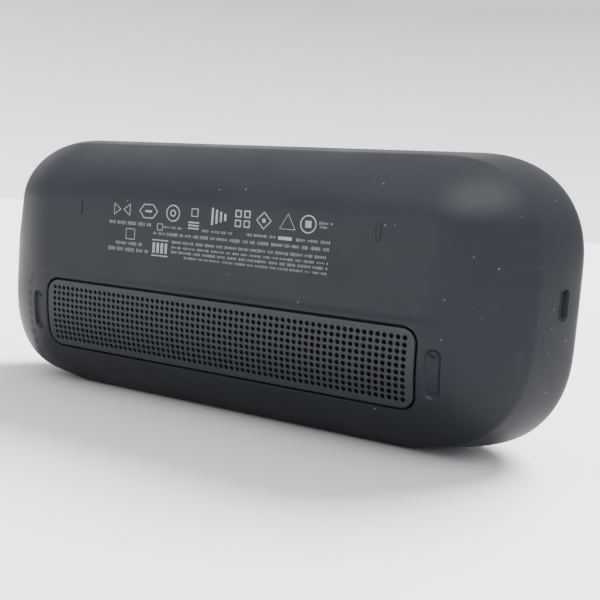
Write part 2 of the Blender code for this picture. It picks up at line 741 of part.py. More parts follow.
def make_port():
    place = along_x_upright(PORT_Y, PORT_Z)
    deep = PORT_MOUTH + PORT_LENGTH
    body = prism_mesh(stadium_points(*PORT_SIZE, 6), place, PORT_MOUTH, deep)
    receptacle = add("usb_c_receptacle", body, "steel")
    inside = prism_mesh(stadium_points(0.0083, 0.0025, 6), place, PORT_MOUTH - 0.001, deep - 0.0012)
    combine(receptacle, add_cutter("port_inside", inside), "DIFFERENCE")
    tongue = box_mesh(
        (PORT_MOUTH + 0.0012, PORT_Y - 0.00035, PORT_Z - 0.0032),
        (deep - 0.0006, PORT_Y + 0.00035, PORT_Z + 0.0032),
    )
    combine(receptacle, add_cutter("port_tongue", tongue), "UNION")
    board_top = PORT_Y - PORT_SIZE[1] / 2 - GAP
    box(
        "usb_board",
        (-0.1065, board_top - 0.0010, PORT_Z - 0.0080),
        (-0.0920, board_top, PORT_Z + 0.0080),
        "circuit_board",
    )


def tube(name, points, radius, finish):
    """A round lead along a smooth line through the points."""
    curve = bpy.data.curves.new(name, "CURVE")
    curve.dimensions = "3D"
    curve.bevel_depth = radius
    curve.bevel_resolution = 2
    curve.use_fill_caps = True
    spline = curve.splines.new("POLY")
    spline.points.add(len(points) - 1)
    for target, point in zip(spline.points, points):
        target.co = (*point, 1.0)
    made = bpy.data.objects.new(name, curve)
    made.data.materials.append(material(finish))
    PARTS.objects.link(made)


def smooth_line(points, steps):
    """Catmull-Rom curve through the points."""
    padded = [points[0], *points, points[-1]]
    line = []
    for a, b, c, d in zip(padded, padded[1:], padded[2:], padded[3:]):
        a, b, c, d = (np.array(point) for point in (a, b, c, d))
        for step in range(steps):
            t = step / steps
            line.append(
                0.5 * (2 * b + (c - a) * t + (2 * a - 5 * b + 4 * c - d) * t**2
                       + (3 * b - a - 3 * c + d) * t**3)
            )
    line.append(np.array(points[-1]))
    return line


def ribbon(name, middle_x, width, path, finish="polyimide", thickness=0.0003):
    """A flat flexible circuit whose path runs in the YZ plane."""
    line = smooth_line([np.array(point) for point in path], 4)
    made = bmesh.new()
    rings = []
    for index, point in enumerate(line):
        before, after = line[max(index - 1, 0)], line[min(index + 1, len(line) - 1)]
        run = (after - before) / np.linalg.norm(after - before)
        across = np.array([-run[1], run[0]]) * thickness / 2
        corners = [
            (middle_x + side * width / 2, *(point + across * up))
            for side, up in ((-1, -1), (1, -1), (1, 1), (-1, 1))
        ]
        rings.append([made.verts.new(corner) for corner in corners])
    fill_between(made, rings)
    made.faces.new(rings[0])
    made.faces.new(rings[-1])
    return add(name, made, finish)


def make_leads():
    route = [
        (-0.0917, PORT_Y - 0.0024, PORT_Z),
        (-0.0860, 0.0030, PORT_Z),
        (-0.0740, 0.0030, 0.0560),
        (-0.0680, 0.0055, 0.0620),
        (-0.0625, 0.0060, 0.0640),
    ]
    tube("usb_lead", smooth_line(route, 4), 0.0009, "black_plastic")
    ribbon(
        "display_flex",
        0.041,
        0.014,
        [(-0.0233, 0.0185), (-0.0205, 0.0190), (-0.0180, 0.0260), (-0.0170, 0.0380),
         (-0.0100, 0.0470), (0.0010, 0.0498), (0.0046, 0.0500)],
    )
    ribbon(
        "button_flex",
        0.030,
        0.010,
        [(-0.0095, BUTTON_TOP - 0.0094), (-0.0092, 0.0846), (-0.0060, 0.0818), (0.0000, 0.0801),
         (0.0046, 0.0795)],
    )
    for side, name in ((-1, "left"), (1, "right")):
        middle = side * 0.080
        box(
            f"{name}_antenna",
            (middle - 0.011, 0.0040, 0.0760),
            (middle + 0.011, 0.0046, 0.0825),
            "polyimide",
        )


# ---------------------------------------------------------------- fasteners
def screw(name, x, head_y, z, head_radius, shank_radius, length):
    """A pan-head screw that points to +Y, its head's underside at head_y."""
    head = 0.0012
    profile = [
        (0.0, -head),
        (head_radius * 0.7, -head),
        (head_radius, -head * 0.55),
        (head_radius, 0.0),
        (shank_radius, 0.0),
        (shank_radius, length),
        (0.0, length),
    ]
    made = bmesh.new()
    corners = [made.verts.new((radius, rise, 0.0)) for radius, rise in profile]
    for start, end in zip(corners, corners[1:]):
        made.edges.new((start, end))
    turned = add(name, made, "steel", (x, head_y, z))
    spin = turned.modifiers.new("turned", "SCREW")
    spin.axis = "Y"
    spin.steps = 14
    spin.render_steps = 14
    spin.use_merge_vertices = True
    spin.merge_threshold = 0.00001
    spin.use_normal_flip = True
    return turned


def make_screws():
    for number, (x, z) in enumerate(CASE_SCREWS, 1):
        screw(f"case_screw_{number}", x, TRAY_Y[0] - 0.0002, z, 0.0024, 0.00125, 0.010)
    for number, (x, z) in enumerate(BOARD_SCREWS, 1):
        screw(f"board_screw_{number}", x, BOARD_Y[0] - 0.0002, z, 0.0021, 0.0010, 0.0070)


def main():
    make_rear_shell()
    make_front_bezel()
    make_front_glass()
    make_rear_grille()
    make_acoustic_mesh()
    make_foot_pad()
    make_screen()
    make_camera()
    make_shutter()
    make_buttons()
    make_speaker_housing()
    for name, side in (("left", -1), ("right", 1)):
        make_driver(name, side * DRIVER_X)
    make_radiator()
    make_mainboard()
    make_port()
    make_leads()
    make_screws()


main()
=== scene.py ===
"""Looks of the smart display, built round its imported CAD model.

The screen faces -Y, the speaker grille faces +Y and +Z is up. All sizes are in metres.
The case follows the same surfaces as part.py, on a finer mesh that carries the small features.
"""

from math import cos, pi, radians, sin
from random import Random

import bmesh
import bpy
import numpy as np
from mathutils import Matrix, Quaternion, Vector
from mathutils.geometry import delaunay_2d_cdt


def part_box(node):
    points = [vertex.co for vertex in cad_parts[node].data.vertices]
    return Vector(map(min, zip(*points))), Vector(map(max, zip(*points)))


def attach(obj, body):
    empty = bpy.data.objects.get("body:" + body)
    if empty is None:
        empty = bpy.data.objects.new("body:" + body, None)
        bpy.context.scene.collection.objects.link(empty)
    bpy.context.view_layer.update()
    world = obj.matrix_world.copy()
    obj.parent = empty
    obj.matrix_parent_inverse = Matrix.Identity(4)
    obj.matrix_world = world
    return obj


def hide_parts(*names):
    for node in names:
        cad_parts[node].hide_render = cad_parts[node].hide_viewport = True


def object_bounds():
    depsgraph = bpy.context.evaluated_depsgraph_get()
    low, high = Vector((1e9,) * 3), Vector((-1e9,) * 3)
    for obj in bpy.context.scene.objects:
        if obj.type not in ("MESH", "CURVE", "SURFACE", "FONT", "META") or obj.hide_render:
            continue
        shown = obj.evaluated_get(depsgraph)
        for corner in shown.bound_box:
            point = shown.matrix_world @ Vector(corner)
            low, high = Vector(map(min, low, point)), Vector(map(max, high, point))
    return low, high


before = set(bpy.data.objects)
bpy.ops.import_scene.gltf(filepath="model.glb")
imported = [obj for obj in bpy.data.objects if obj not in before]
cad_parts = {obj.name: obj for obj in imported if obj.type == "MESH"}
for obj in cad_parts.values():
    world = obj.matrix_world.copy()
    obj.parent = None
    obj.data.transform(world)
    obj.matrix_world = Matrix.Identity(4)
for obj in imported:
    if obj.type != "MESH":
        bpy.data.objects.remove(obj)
CAD_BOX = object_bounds()

# ---- sizes read from the frame
RIB_HEIGHT = 0.0004
BACK_Y = CAD_BOX[1].y - RIB_HEIGHT
FRONT_Y = CAD_BOX[0].y
GRILLE_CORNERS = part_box("rear_grille")
GRILLE_HALF = GRILLE_CORNERS[1].x
GRILLE_LOW = GRILLE_CORNERS[0].z
GRILLE_TOP = GRILLE_CORNERS[1].z
PAD_LOW, PAD_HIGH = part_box("foot_pad")
PORT_LOW, PORT_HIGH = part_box("usb_c_receptacle")
PORT_Y = (PORT_LOW.y + PORT_HIGH.y) / 2
PORT_Z = (PORT_LOW.z + PORT_HIGH.z) / 2
PORT_OPENING = (0.0095, 0.0027)
PORT_LIP = 0.00026
LCD_LOW, LCD_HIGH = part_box("display_panel")
LENS_LOW, LENS_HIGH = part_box("camera_lens")
SENSOR_LOW, SENSOR_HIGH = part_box("light_sensor")
GLASS_BACK_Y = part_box("front_glass")[1].y
GAP = 0.0003

# ---- the case, as in part.py
WALL = 0.0022
# A section of the case seen from the front: half width, top, low edge, corner radii.
CREASE = (0.1045, 0.0942, 0.0031, 0.0340, 0.0360)
GIRTH = (0.1130, 0.0966, 0.0016, 0.0350, 0.0352)
RIM = (0.1023, 0.0887, 0.0086, 0.0286, 0.0286)
GIRTH_Y = BACK_Y - 0.0319
RIM_Y = FRONT_Y + 0.0017
SPLIT = 0.63
BAND_POWER = 1.3
SIDE_BOW = 0.006
CORNER_POWER = 2.35
FLAT_HALF = 0.0744
EDGE_DEPTH = 0.0137
EDGE_POWER = 2.0
FLAT_TOP = 0.0715
TOP_DEPTH = 0.0174
TOP_POWER = 2.0
CORNER_LOW = 0.0550
CORNER_DEPTH = 0.0035
ROLL_START = 0.0385
ROLL_SQUARE = 4.0
ROLL_CUBE = 180.0
LOW_EDGE = 0.0100
LOW_ROUND = 0.0021
BACK_CENTRE_Z = 0.0539
FOOT_Z = 0.0006
FOOT_HALF = 0.0673
FOOT_FLARE = 0.0100
FOOT_SHARE = 0.43
CREASE_SOFT = 0.0010  # rounding where the back meets the band
UPPER_STEPS, LOWER_STEPS, FLAT_STEPS, SIDE_STEPS = 28, 44, 64, 20
BACK_MESH = 0.0022  # spacing of the mesh on the back

# Small features of the back
GROOVE = 0.0008
GROOVE_ROUND = 0.0003
GRILLE_RADIUS = 0.0046
GRILLE_THICK = 0.0016
STEP_HALF = 0.0850  # a faint step round the lower part of the back
STEP_TOP = 0.0440
STEP_RADIUS = 0.0090
STEP_DEPTH = 0.00022
STEP_WIDTH = 0.0016
RIB_X = 0.0592
RIB_Z = 0.0695
RIB_SIZE = (0.0059, 0.0015)
RIB_ROUND = 0.0003
DIMPLE_X = 0.0792
DIMPLE_Z = 0.0286
DIMPLE_SIZE = (0.0156, 0.0054)
DIMPLE_DEPTH = 0.0010
DIMPLE_WALL = 0.0009
NUB_RISE = 0.0062  # a soft nub near the dimple's upper end
NUB_HEIGHT = 0.0008
NUB_WIDTH = 0.0011

# Holes of the grille
PITCH = 0.0022
COLUMNS, ROWS = 65, 10
HOLE_TOP_Z = 0.0385
ROW_RATIO = 0.985
HOLE_RADIUS = 0.00080
HOLE_BEVEL = 0.00007
HOLE_SIDES = 14

MIC_RADIUS = 0.00055

# Front, buttons and foot
PARTING = SPLIT + 0.012  # where the bezel starts, past the end of the rear case
BAND_START = 0.045  # how far the soft crease reaches into the band
BUTTON_FLANGE = 0.0016
BUTTONS = ("volume_down", "volume_up", "mute")
SHUTTER_TRAVEL = 0.0075
SLOT_HEIGHTS = (0.080, 0.095)
GLASS_INSET = 0.0024
PAD_CORNER, PAD_SPACING = 0.0015, 0.002
PORT_CUT = (-0.120, -0.100)
CUT_SHARP = 34  # degrees
EDGE_SHARES = (0.0, 0.12, 0.4, 1.0)  # rings over a small rounded edge
EDGE_SPACING = 0.0009


# ---- curves and distances
def ease(share):
    """Smooth step from 0 to 1."""
    share = np.clip(share, 0, 1)
    return share * share * (3 - 2 * share)


def corner_offsets(radius, steps):
    turns = [pi / 2 * step / steps for step in range(steps + 1)]
    power = 2 / CORNER_POWER
    return [(radius * cos(turn) ** power, radius * abs(sin(turn)) ** power) for turn in turns]


def outline(section, foot=0.0):
    """The (x, z) points of a section, from the right side over the top and round."""
    half, top, low, top_radius, low_radius = section
    upper = corner_offsets(top_radius, UPPER_STEPS)
    lower = corner_offsets(low_radius, LOWER_STEPS)
    top_x, low_x = half - top_radius, half - low_radius
    top_z, low_z = top - top_radius, low + low_radius
    sides = np.linspace(top_z, low_z, SIDE_STEPS + 1)[1:-1]
    points = [(top_x + dx, top_z + dz) for dx, dz in upper]
    points += [(x, top) for x in np.linspace(top_x, -top_x, FLAT_STEPS + 1)[1:-1]]
    points += [(-top_x - dx, top_z + dz) for dx, dz in reversed(upper)]
    points += [(-half, z) for z in sides]
    points += [(-low_x - dx, low_z - dz) for dx, dz in lower]
    points += [(x, low) for x in np.linspace(-low_x, low_x, FLAT_STEPS + 1)[1:-1]]
    points += [(low_x + dx, low_z - dz) for dx, dz in reversed(lower)]
    points += [(half, z) for z in reversed(sides)]
    made = np.array(points)
    middle, reach = (top + low) / 2, (top - low) / 2
    made[:, 0] *= 1 + SIDE_BOW * (1 - ((made[:, 1] - middle) / reach) ** 2)
    away = (np.abs(made[:, 0]) - FOOT_HALF) / FOOT_FLARE
    dip = foot * (1 - ease(away)) * (made[:, 1] < middle)
    made[:, 1] += (FOOT_Z - made[:, 1]) * dip
    return made


def shrink(section, inset):
    half, top, low, top_radius, low_radius = section
    return (half - inset, top - inset, low + inset, top_radius - inset, low_radius - inset)


def spread(start, end, spacing):
    """Points from start up to, but not at, end."""
    start, end = np.array(start), np.array(end)
    count = max(int(round(np.linalg.norm(end - start) / spacing)), 1)
    return [start + (end - start) * step / count for step in range(count)]


def rounded_rectangle(half_x, low, high, radius, spacing):
    """A closed (x, z) outline with points about spacing apart."""
    reach, lower, upper = half_x - radius, low + radius, high - radius
    corners = ((reach, upper), (-reach, upper), (-reach, lower), (reach, lower))
    steps = max(int(pi / 2 * radius / spacing), 5)
    arcs = []
    for quarter, (x, z) in enumerate(corners):
        turns = [pi / 2 * (quarter + step / steps) for step in range(steps + 1)]
        arcs.append([(x + radius * cos(turn), z + radius * sin(turn)) for turn in turns])
    points = []
    for arc, following in zip(arcs, arcs[1:] + arcs[:1]):
        points += arc[:-1] + spread(arc[-1], following[0], spacing)
    return np.array(points)


def circle(x, z, radius, sides, start=0.0):
    turns = start + np.arange(sides) * 2 * pi / sides
    return np.column_stack([x + radius * np.cos(turns), z + radius * np.sin(turns)])


def pill(length, width, steps=10):
    """A closed stadium outline round the origin, length along its first coordinate."""
    radius, reach = width / 2, length / 2 - width / 2
    turns = [pi * step / steps for step in range(steps + 1)]
    right = [(reach + radius * sin(turn), -radius * cos(turn)) for turn in turns]
    left = [(-reach - radius * sin(turn), radius * cos(turn)) for turn in turns]
    return right + left


def pill_distance(x, z, centre_x, centre_z, size):
    """Signed distance to an upright stadium, negative inside."""
    reach = (size[0] - size[1]) / 2
    rise = z - centre_z
    beyond = rise - np.clip(rise, -reach, reach)
    return np.hypot(x - centre_x, beyond) - size[1] / 2


def rectangle_distance(x, z, half_x, low, high, radius):
    """Signed distance to a rounded rectangle centred on x = 0, negative inside."""
    out_x = np.abs(x) - half_x + radius
    out_z = np.abs(z - (low + high) / 2) - (high - low) / 2 + radius
    outside = np.hypot(np.clip(out_x, 0, None), np.clip(out_z, 0, None))
    return outside + np.minimum(np.maximum(out_x, out_z), 0) - radius


def edge_drop(distance, radius):
    """How far a quarter-round edge lies below its surface, at a distance in from the edge."""
    short = radius - np.clip(distance, 0, radius)
    return radius - np.sqrt(radius * radius - short * short)


# ---- the back surface
def base_y(x, z):
    """The back without its small features."""
    beyond = np.clip((np.abs(x) - FLAT_HALF) / (CREASE[0] - FLAT_HALF), 0, None)
    above = np.clip((z - FLAT_TOP) / (CREASE[1] - FLAT_TOP), 0, None)
    corner = np.clip((z - CORNER_LOW) / (CREASE[1] - CORNER_LOW), 0, None)
    below = np.clip(ROLL_START - z, 0, None)
    low = np.clip((LOW_EDGE - z) / LOW_EDGE, 0, None)
    drop = EDGE_DEPTH * beyond**EDGE_POWER + TOP_DEPTH * above**TOP_POWER + LOW_ROUND * low**2
    drop += CORNER_DEPTH * corner * beyond**2
    return BACK_Y - drop - ROLL_SQUARE * below**2 - ROLL_CUBE * below**3


def grille_outline(grow):
    """The grille's outline, grown outwards by that much."""
    low, high = GRILLE_LOW - grow, GRILLE_TOP + grow
    return rounded_rectangle(GRILLE_HALF + grow, low, high, GRILLE_RADIUS + grow, EDGE_SPACING)


def opening_distance(x, z):
    """Distance out from the edge of the grille opening."""
    low, high = GRILLE_LOW - GROOVE, GRILLE_TOP + GROOVE
    return rectangle_distance(x, z, GRILLE_HALF + GROOVE, low, high, GRILLE_RADIUS + GROOVE)


def case_y(x, z):
    """The back with its ribs, dimples, faint step and the rounded edge of the grille opening."""
    side = np.abs(x)
    rib = -pill_distance(side, z, RIB_X, RIB_Z, RIB_SIZE)
    raised = RIB_HEIGHT - edge_drop(rib, RIB_ROUND) * RIB_HEIGHT / RIB_ROUND
    raised = np.where(rib > 0, raised, 0)
    dimple = -pill_distance(side, z, DIMPLE_X, DIMPLE_Z, DIMPLE_SIZE)
    sunk = DIMPLE_DEPTH * ease(dimple / DIMPLE_WALL)
    nub_x, nub_z = side - DIMPLE_X, z - DIMPLE_Z - NUB_RISE
    nub = NUB_HEIGHT * np.exp(-(nub_x**2 + (nub_z * 1.3) ** 2) / NUB_WIDTH**2)
    step = -rectangle_distance(x, z, STEP_HALF, -STEP_TOP, STEP_TOP, STEP_RADIUS)
    lowered = STEP_DEPTH * ease(step / STEP_WIDTH + 0.5)
    edge = edge_drop(opening_distance(x, z), GROOVE_ROUND)
    return base_y(x, z) + raised - sunk + nub - lowered - edge


def row_heights():
    """The z of each row of holes: even steps along the curved surface, from the top row down."""
    z, heights, pieces = HOLE_TOP_Z, [HOLE_TOP_Z], 20
    for _ in range(ROWS - 1):
        for _ in range(pieces):
            slope = float(base_y(0.0, z + 1e-5) - base_y(0.0, z - 1e-5)) / 2e-5
            z -= ROW_RATIO * PITCH / pieces / (1 + slope * slope) ** 0.5
        heights.append(z)
    return np.array(heights)


ROW_Z = row_heights()


def hole_distance(x, z):
    """Distance out from the edge of the nearest hole of the grille."""
    half = (COLUMNS - 1) / 2
    column = np.clip(np.round(x / PITCH), -half, half) * PITCH
    row = ROW_Z[np.argmin(np.abs(np.asarray(z)[..., None] - ROW_Z), axis=-1)]
    return np.hypot(x - column, z - row) - HOLE_RADIUS


def grille_y(x, z):
    """The grille's face: its outer edge and the edges of its holes are rounded."""
    inside = -rectangle_distance(x, z, GRILLE_HALF, GRILLE_LOW, GRILLE_TOP, GRILLE_RADIUS)
    edges = edge_drop(inside, GROOVE_ROUND) + edge_drop(hole_distance(x, z), HOLE_BEVEL)
    return base_y(x, z) - STEP_DEPTH - edges


# ---- meshes
def make_object(name, mesh, material, body, replaces, sharp):
    mesh.shade_smooth()
    mesh.set_sharp_from_angle(angle=radians(sharp))
    made = bpy.data.objects.new(name, mesh)
    bpy.context.scene.collection.objects.link(made)
    if material:
        mesh.materials.append(material)
    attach(made, body)
    if replaces:
        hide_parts(*replaces)
    return made


def piece(name, builder, material, body="housing", replaces=(), sharp=32):
    """A named piece of the object from a filled bmesh."""
    mesh = bpy.data.meshes.new(name)
    bmesh.ops.recalc_face_normals(builder, faces=builder.faces)
    builder.to_mesh(mesh)
    builder.free()
    return make_object(name, mesh, material, body, replaces, sharp)


def fill_between(made, rings, closed=False):
    pairs = list(zip(rings, rings[1:]))
    if closed:
        pairs.append((rings[-1], rings[0]))
    for ring, following in pairs:
        for index in range(len(ring)):
            after = (index + 1) % len(ring)
            made.faces.new((ring[index], ring[after], following[after], following[index]))


def add_loft(made, rings, closed=False):
    """Adds rings of points to a bmesh, joined by quads; the ends are capped or joined."""
    rings = [[made.verts.new(point) for point in ring] for ring in rings]
    fill_between(made, rings, closed)
    if not closed:
        made.faces.new(rings[0])
        made.faces.new(rings[-1])


def loft(rings, closed=False):
    made = bmesh.new()
    add_loft(made, rings, closed)
    return made


def inside(points, loop):
    """Which (x, z) points lie inside a closed outline."""
    x, z = points[:, :1], points[:, 1:]
    start, end = loop, np.roll(loop, -1, axis=0)
    spans = (start[:, 1] > z) != (end[:, 1] > z)
    rise = np.where(end[:, 1] == start[:, 1], 1e-12, end[:, 1] - start[:, 1])
    meets = start[:, 0] + (z - start[:, 1]) / rise * (end[:, 0] - start[:, 0])
    return (spans & (x < meets)).sum(axis=1) % 2 == 1


def grid(low_x, high_x, low_z, high_z, spacing):
    """Staggered (x, z) points over a rectangle."""
    rows = np.arange(low_z, high_z, spacing * 0.87)
    points = []
    for number, z in enumerate(rows):
        shift = spacing / 2 * (number % 2)
        points += [(x + shift, z) for x in np.arange(low_x, high_x, spacing)]
    return np.array(points)


def clear_of(points, loops, distance):
    """The points that are further than distance from every outline point."""
    others = np.vstack(loops)
    keep = np.ones(len(points), bool)
    for index in range(0, len(points), 1000):
        part = points[index : index + 1000, None, :]
        keep[index : index + 1000] = ((part - others) ** 2).sum(-1).min(-1) > distance**2
    return points[keep]


def triangulate(loops, fill, wanted):
    """Triangles between closed (x, z) outlines and the fill points.

    wanted says which triangles stay, by their middles. Returns the points, the triangles, and
    where each point of the first outline went.
    """
    points = np.vstack([*loops, fill]) if len(fill) else np.vstack(loops)
    edges, first = [], 0
    for loop in loops:
        count = len(loop)
        edges += [(first + step, first + (step + 1) % count) for step in range(count)]
        first += count
    found = delaunay_2d_cdt([Vector(point) for point in points], edges, [], 0, 1e-9)
    flat = np.array([tuple(point) for point in found[0]])
    triangles = np.array([tuple(face) for face in found[2]])
    triangles = triangles[wanted(flat[triangles].mean(axis=1))]
    place = {old: new for new, olds in enumerate(found[3]) for old in olds}
    return flat, triangles, [place[index] for index in range(len(loops[0]))]


def on_surface(flat, height):
    return np.column_stack([flat[:, 0], height(flat[:, 0], flat[:, 1]), flat[:, 1]])


def close_sheet(outer, inner, faces):
    """A closed bmesh from a sheet: the inner points repeat the faces, and the rims are joined."""
    made = bmesh.new()
    front = [made.verts.new(point) for point in outer]
    back = [made.verts.new(point) for point in inner]
    sides = {}
    for face in faces:
        made.faces.new([front[index] for index in face])
        made.faces.new([back[index] for index in reversed(face)])
        for start, end in zip(face, [*face[1:], face[0]]):
            key = (min(start, end), max(start, end))
            sides[key] = sides.get(key, 0) + 1
    for (start, end), count in sides.items():
        if count == 1:
            made.faces.new((front[start], front[end], back[end], back[start]))
    loose = [vert for vert in made.verts if not vert.link_faces]
    bmesh.ops.delete(made, geom=loose, context="VERTS")
    return made


def exact_normals(mesh, height):
    """Gives the corners that lie on a height surface its true normals, so no triangle shows."""
    count = len(mesh.loops)
    corners = np.zeros(count, np.int32)
    mesh.loops.foreach_get("vertex_index", corners)
    points = np.zeros(len(mesh.vertices) * 3)
    mesh.vertices.foreach_get("co", points)
    points = points.reshape(-1, 3)[corners]
    normals = np.zeros(count * 3)
    mesh.corner_normals.foreach_get("vector", normals)
    normals = normals.reshape(-1, 3)
    x, y, z = points.T
    step = 2e-5
    slope_x = (height(x + step, z) - height(x - step, z)) / (2 * step)
    slope_z = (height(x, z + step) - height(x, z - step)) / (2 * step)
    true = np.column_stack([-slope_x, np.ones(count), -slope_z])
    true /= np.linalg.norm(true, axis=1)[:, None]
    faces = np.zeros(len(mesh.polygons) * 3)
    mesh.polygons.foreach_get("normal", faces)
    sizes = np.zeros(len(mesh.polygons), np.int32)
    mesh.polygons.foreach_get("loop_total", sizes)
    faces = np.repeat(faces.reshape(-1, 3), sizes, axis=0)
    lies = (np.abs(y - height(x, z)) < 2e-6) & ((faces * true).sum(1) > 0.75)
    normals[lies] = true[lies]
    mesh.normals_split_custom_set(normals.tolist())


def prism(points, place, start, end):
    """A flat outline pushed from start to end; place turns (a, b, t) into a point."""
    return loft([[place(a, b, t) for a, b in points] for t in (start, end)])


def cut(target, cutters):
    """Takes closed bmeshes out of a piece for good."""
    together = bpy.data.objects.new("cutter", bpy.data.meshes.new("cutter"))
    bpy.context.scene.collection.objects.link(together)
    whole = bmesh.new()
    for cutter in cutters:
        bmesh.ops.recalc_face_normals(cutter, faces=cutter.faces)
        part = bpy.data.meshes.new("part")
        cutter.to_mesh(part)
        cutter.free()
        whole.from_mesh(part)
    whole.to_mesh(together.data)
    whole.free()
    boolean = target.modifiers.new("openings", "BOOLEAN")
    boolean.object = together
    graph = bpy.context.evaluated_depsgraph_get()
    mesh = bpy.data.meshes.new_from_object(target.evaluated_get(graph), depsgraph=graph)
    target.modifiers.clear()
    bpy.data.objects.remove(together)
    return mesh


def open_up(made, cutters, material):
    """Cuts a piece, then gives it one material and smooth faces between sharp edges."""
    made.data = cut(made, cutters)
    made.data.materials.clear()
    made.data.materials.append(material)
    made.data.shade_smooth()
    made.data.set_sharp_from_angle(angle=radians(CUT_SHARP))


# ---- materials
class Nodes:
    """Short calls that add nodes to a tree."""

    def __init__(self, tree):
        self.tree = tree

    def node(self, kind, inputs=(), **settings):
        """A new node; each input is another node's output or a plain value."""
        made = self.tree.nodes.new(kind)
        for name, value in settings.items():
            setattr(made, name, value)
        for name, value in dict(inputs).items():
            socket = made.inputs[name]
            if isinstance(value, bpy.types.NodeSocket):
                self.tree.links.new(value, socket)
            else:
                socket.default_value = (*value, 1.0) if socket.type == "RGBA" else value
        return made

    def remap(self, value, low, high, new_low=0.0, new_high=1.0):
        inputs = {"Value": value, "From Min": low, "From Max": high, "To Min": new_low, "To Max": new_high}
        return self.node("ShaderNodeMapRange", inputs).outputs[0]

    def maths(self, operation, first, second):
        return self.node("ShaderNodeMath", {0: first, 1: second}, operation=operation).outputs[0]

    def mix(self, share, first, second):
        return self.node("ShaderNodeMix", {0: share, 6: first, 7: second}, data_type="RGBA").outputs[2]


class Finish(Nodes):
    """A Principled material, with short calls for its textures and its sockets."""

    def __init__(self, name, **fixed):
        self.material = bpy.data.materials.new(name)
        self.material.use_nodes = True
        super().__init__(self.material.node_tree)
        self.surface = self.tree.nodes["Principled BSDF"]
        for socket, value in fixed.items():
            self.surface.inputs[socket.replace("_", " ")].default_value = value
        self.place = self.node("ShaderNodeTexCoord").outputs["Object"]
        self.bumps = None

    def link(self, value, socket):
        self.tree.links.new(value, self.surface.inputs[socket])

    def noise(self, size, detail=2.0, stretch=(1, 1, 1)):
        place = self.node("ShaderNodeMapping", {"Vector": self.place, "Scale": stretch}).outputs[0]
        inputs = {"Vector": place, "Scale": 1 / size, "Detail": detail}
        return self.node("ShaderNodeTexNoise", inputs).outputs["Fac"]

    def waves(self, size, direction):
        inputs = {"Vector": self.place, "Scale": 0.314 / size}
        return self.node("ShaderNodeTexWave", inputs, bands_direction=direction).outputs["Fac"]

    def bump(self, height, depth):
        """Adds relief of that depth in metres to what is there."""
        inputs = {"Height": height, "Strength": 1.0, "Distance": depth}
        if self.bumps:
            inputs["Normal"] = self.bumps
        self.bumps = self.node("ShaderNodeBump", inputs).outputs[0]
        self.link(self.bumps, "Normal")

    def colour(self, value):
        self.link(value, "Base Color")

    def roughness(self, value):
        self.link(value, "Roughness")


def plain_finish(name, first, second, blotch, rough, grain, depth, **fixed):
    """Two tints in blotches, uneven roughness, and a grain of that size and depth."""
    made = Finish(name, **fixed)
    tint = made.mix(made.remap(made.noise(blotch, 4.0), 0.3, 0.7), first, second)
    made.colour(tint)
    made.roughness(made.remap(made.noise(blotch * 0.7, 5.0), 0.3, 0.7, *rough))
    made.bump(made.noise(grain, 3.0), depth)
    return made, tint


def add_dust(made, tint, size, chance, colour=(0.30, 0.31, 0.31)):
    """Scattered pale specks, in some of the cells of a cell pattern.

    chance is the share of cells with a speck, at the left and right ends of the back.
    """
    cells = made.node("ShaderNodeTexVoronoi", {"Vector": made.place, "Scale": 1 / size})
    wobble = made.remap(made.noise(size / 14, 2.0), 0.3, 0.7, -0.030, 0.030)
    near = made.maths("ADD", cells.outputs["Distance"], wobble)
    dot = made.remap(near, 0.045, 0.085, 1.0, 0.0)
    pick = made.node("ShaderNodeSeparateColor", {"Color": cells.outputs["Color"]}).outputs
    along = made.node("ShaderNodeSeparateXYZ", {"Vector": made.place}).outputs["X"]
    limit = made.remap(along, GRILLE_HALF, -GRILLE_HALF, *chance)
    chosen = made.maths("LESS_THAN", pick["Red"], limit)
    strength = made.remap(pick["Green"], 0.0, 1.0, 0.15, 1.0)
    share = made.maths("MULTIPLY", made.maths("MULTIPLY", dot, chosen), strength)
    return made.mix(share, tint, colour)


def slate_plastic():
    made, tint = plain_finish(
        "slate_plastic", (0.0078, 0.0088, 0.0118), (0.0095, 0.0107, 0.0140), 0.030, (0.42, 0.54),
        0.00018, 0.000010, Specular_IOR_Level=0.15,
    )
    tint = add_dust(made, tint, 0.0034, (0.03, 0.16), (0.16, 0.165, 0.17))
    made.colour(add_dust(made, tint, 0.0019, (0.03, 0.16), (0.07, 0.073, 0.078)))
    return made.material


def grille_plastic():
    made, tint = plain_finish(
        "grille_plastic", (0.0110, 0.0122, 0.0150), (0.0190, 0.0205, 0.0240), 0.0005, (0.45, 0.60),
        0.00030, 0.000030, Specular_IOR_Level=0.20,
    )
    made.colour(add_dust(made, tint, 0.0034, (0.02, 0.08)))
    return made.material


def simple(name, *facts, **fixed):
    return plain_finish(name, *facts, **fixed)[0].material


def brushed(name, first, second, rough, stretch, **fixed):
    """Metal with fine lines along the axis whose stretch is small."""
    made = Finish(name, Metallic=1.0, **fixed)
    lines = made.noise(0.0006, 4.0, stretch)
    made.colour(made.mix(lines, first, second))
    made.roughness(made.remap(lines, 0.3, 0.7, *rough))
    made.bump(lines, 0.000006)
    return made.material


def woven(name, first, second, size, depth):
    made = Finish(name, Roughness=0.9)
    threads = made.maths("MULTIPLY", made.waves(size, "X"), made.waves(size, "Z"))
    made.colour(made.mix(threads, first, second))
    made.bump(threads, depth)
    return made.material


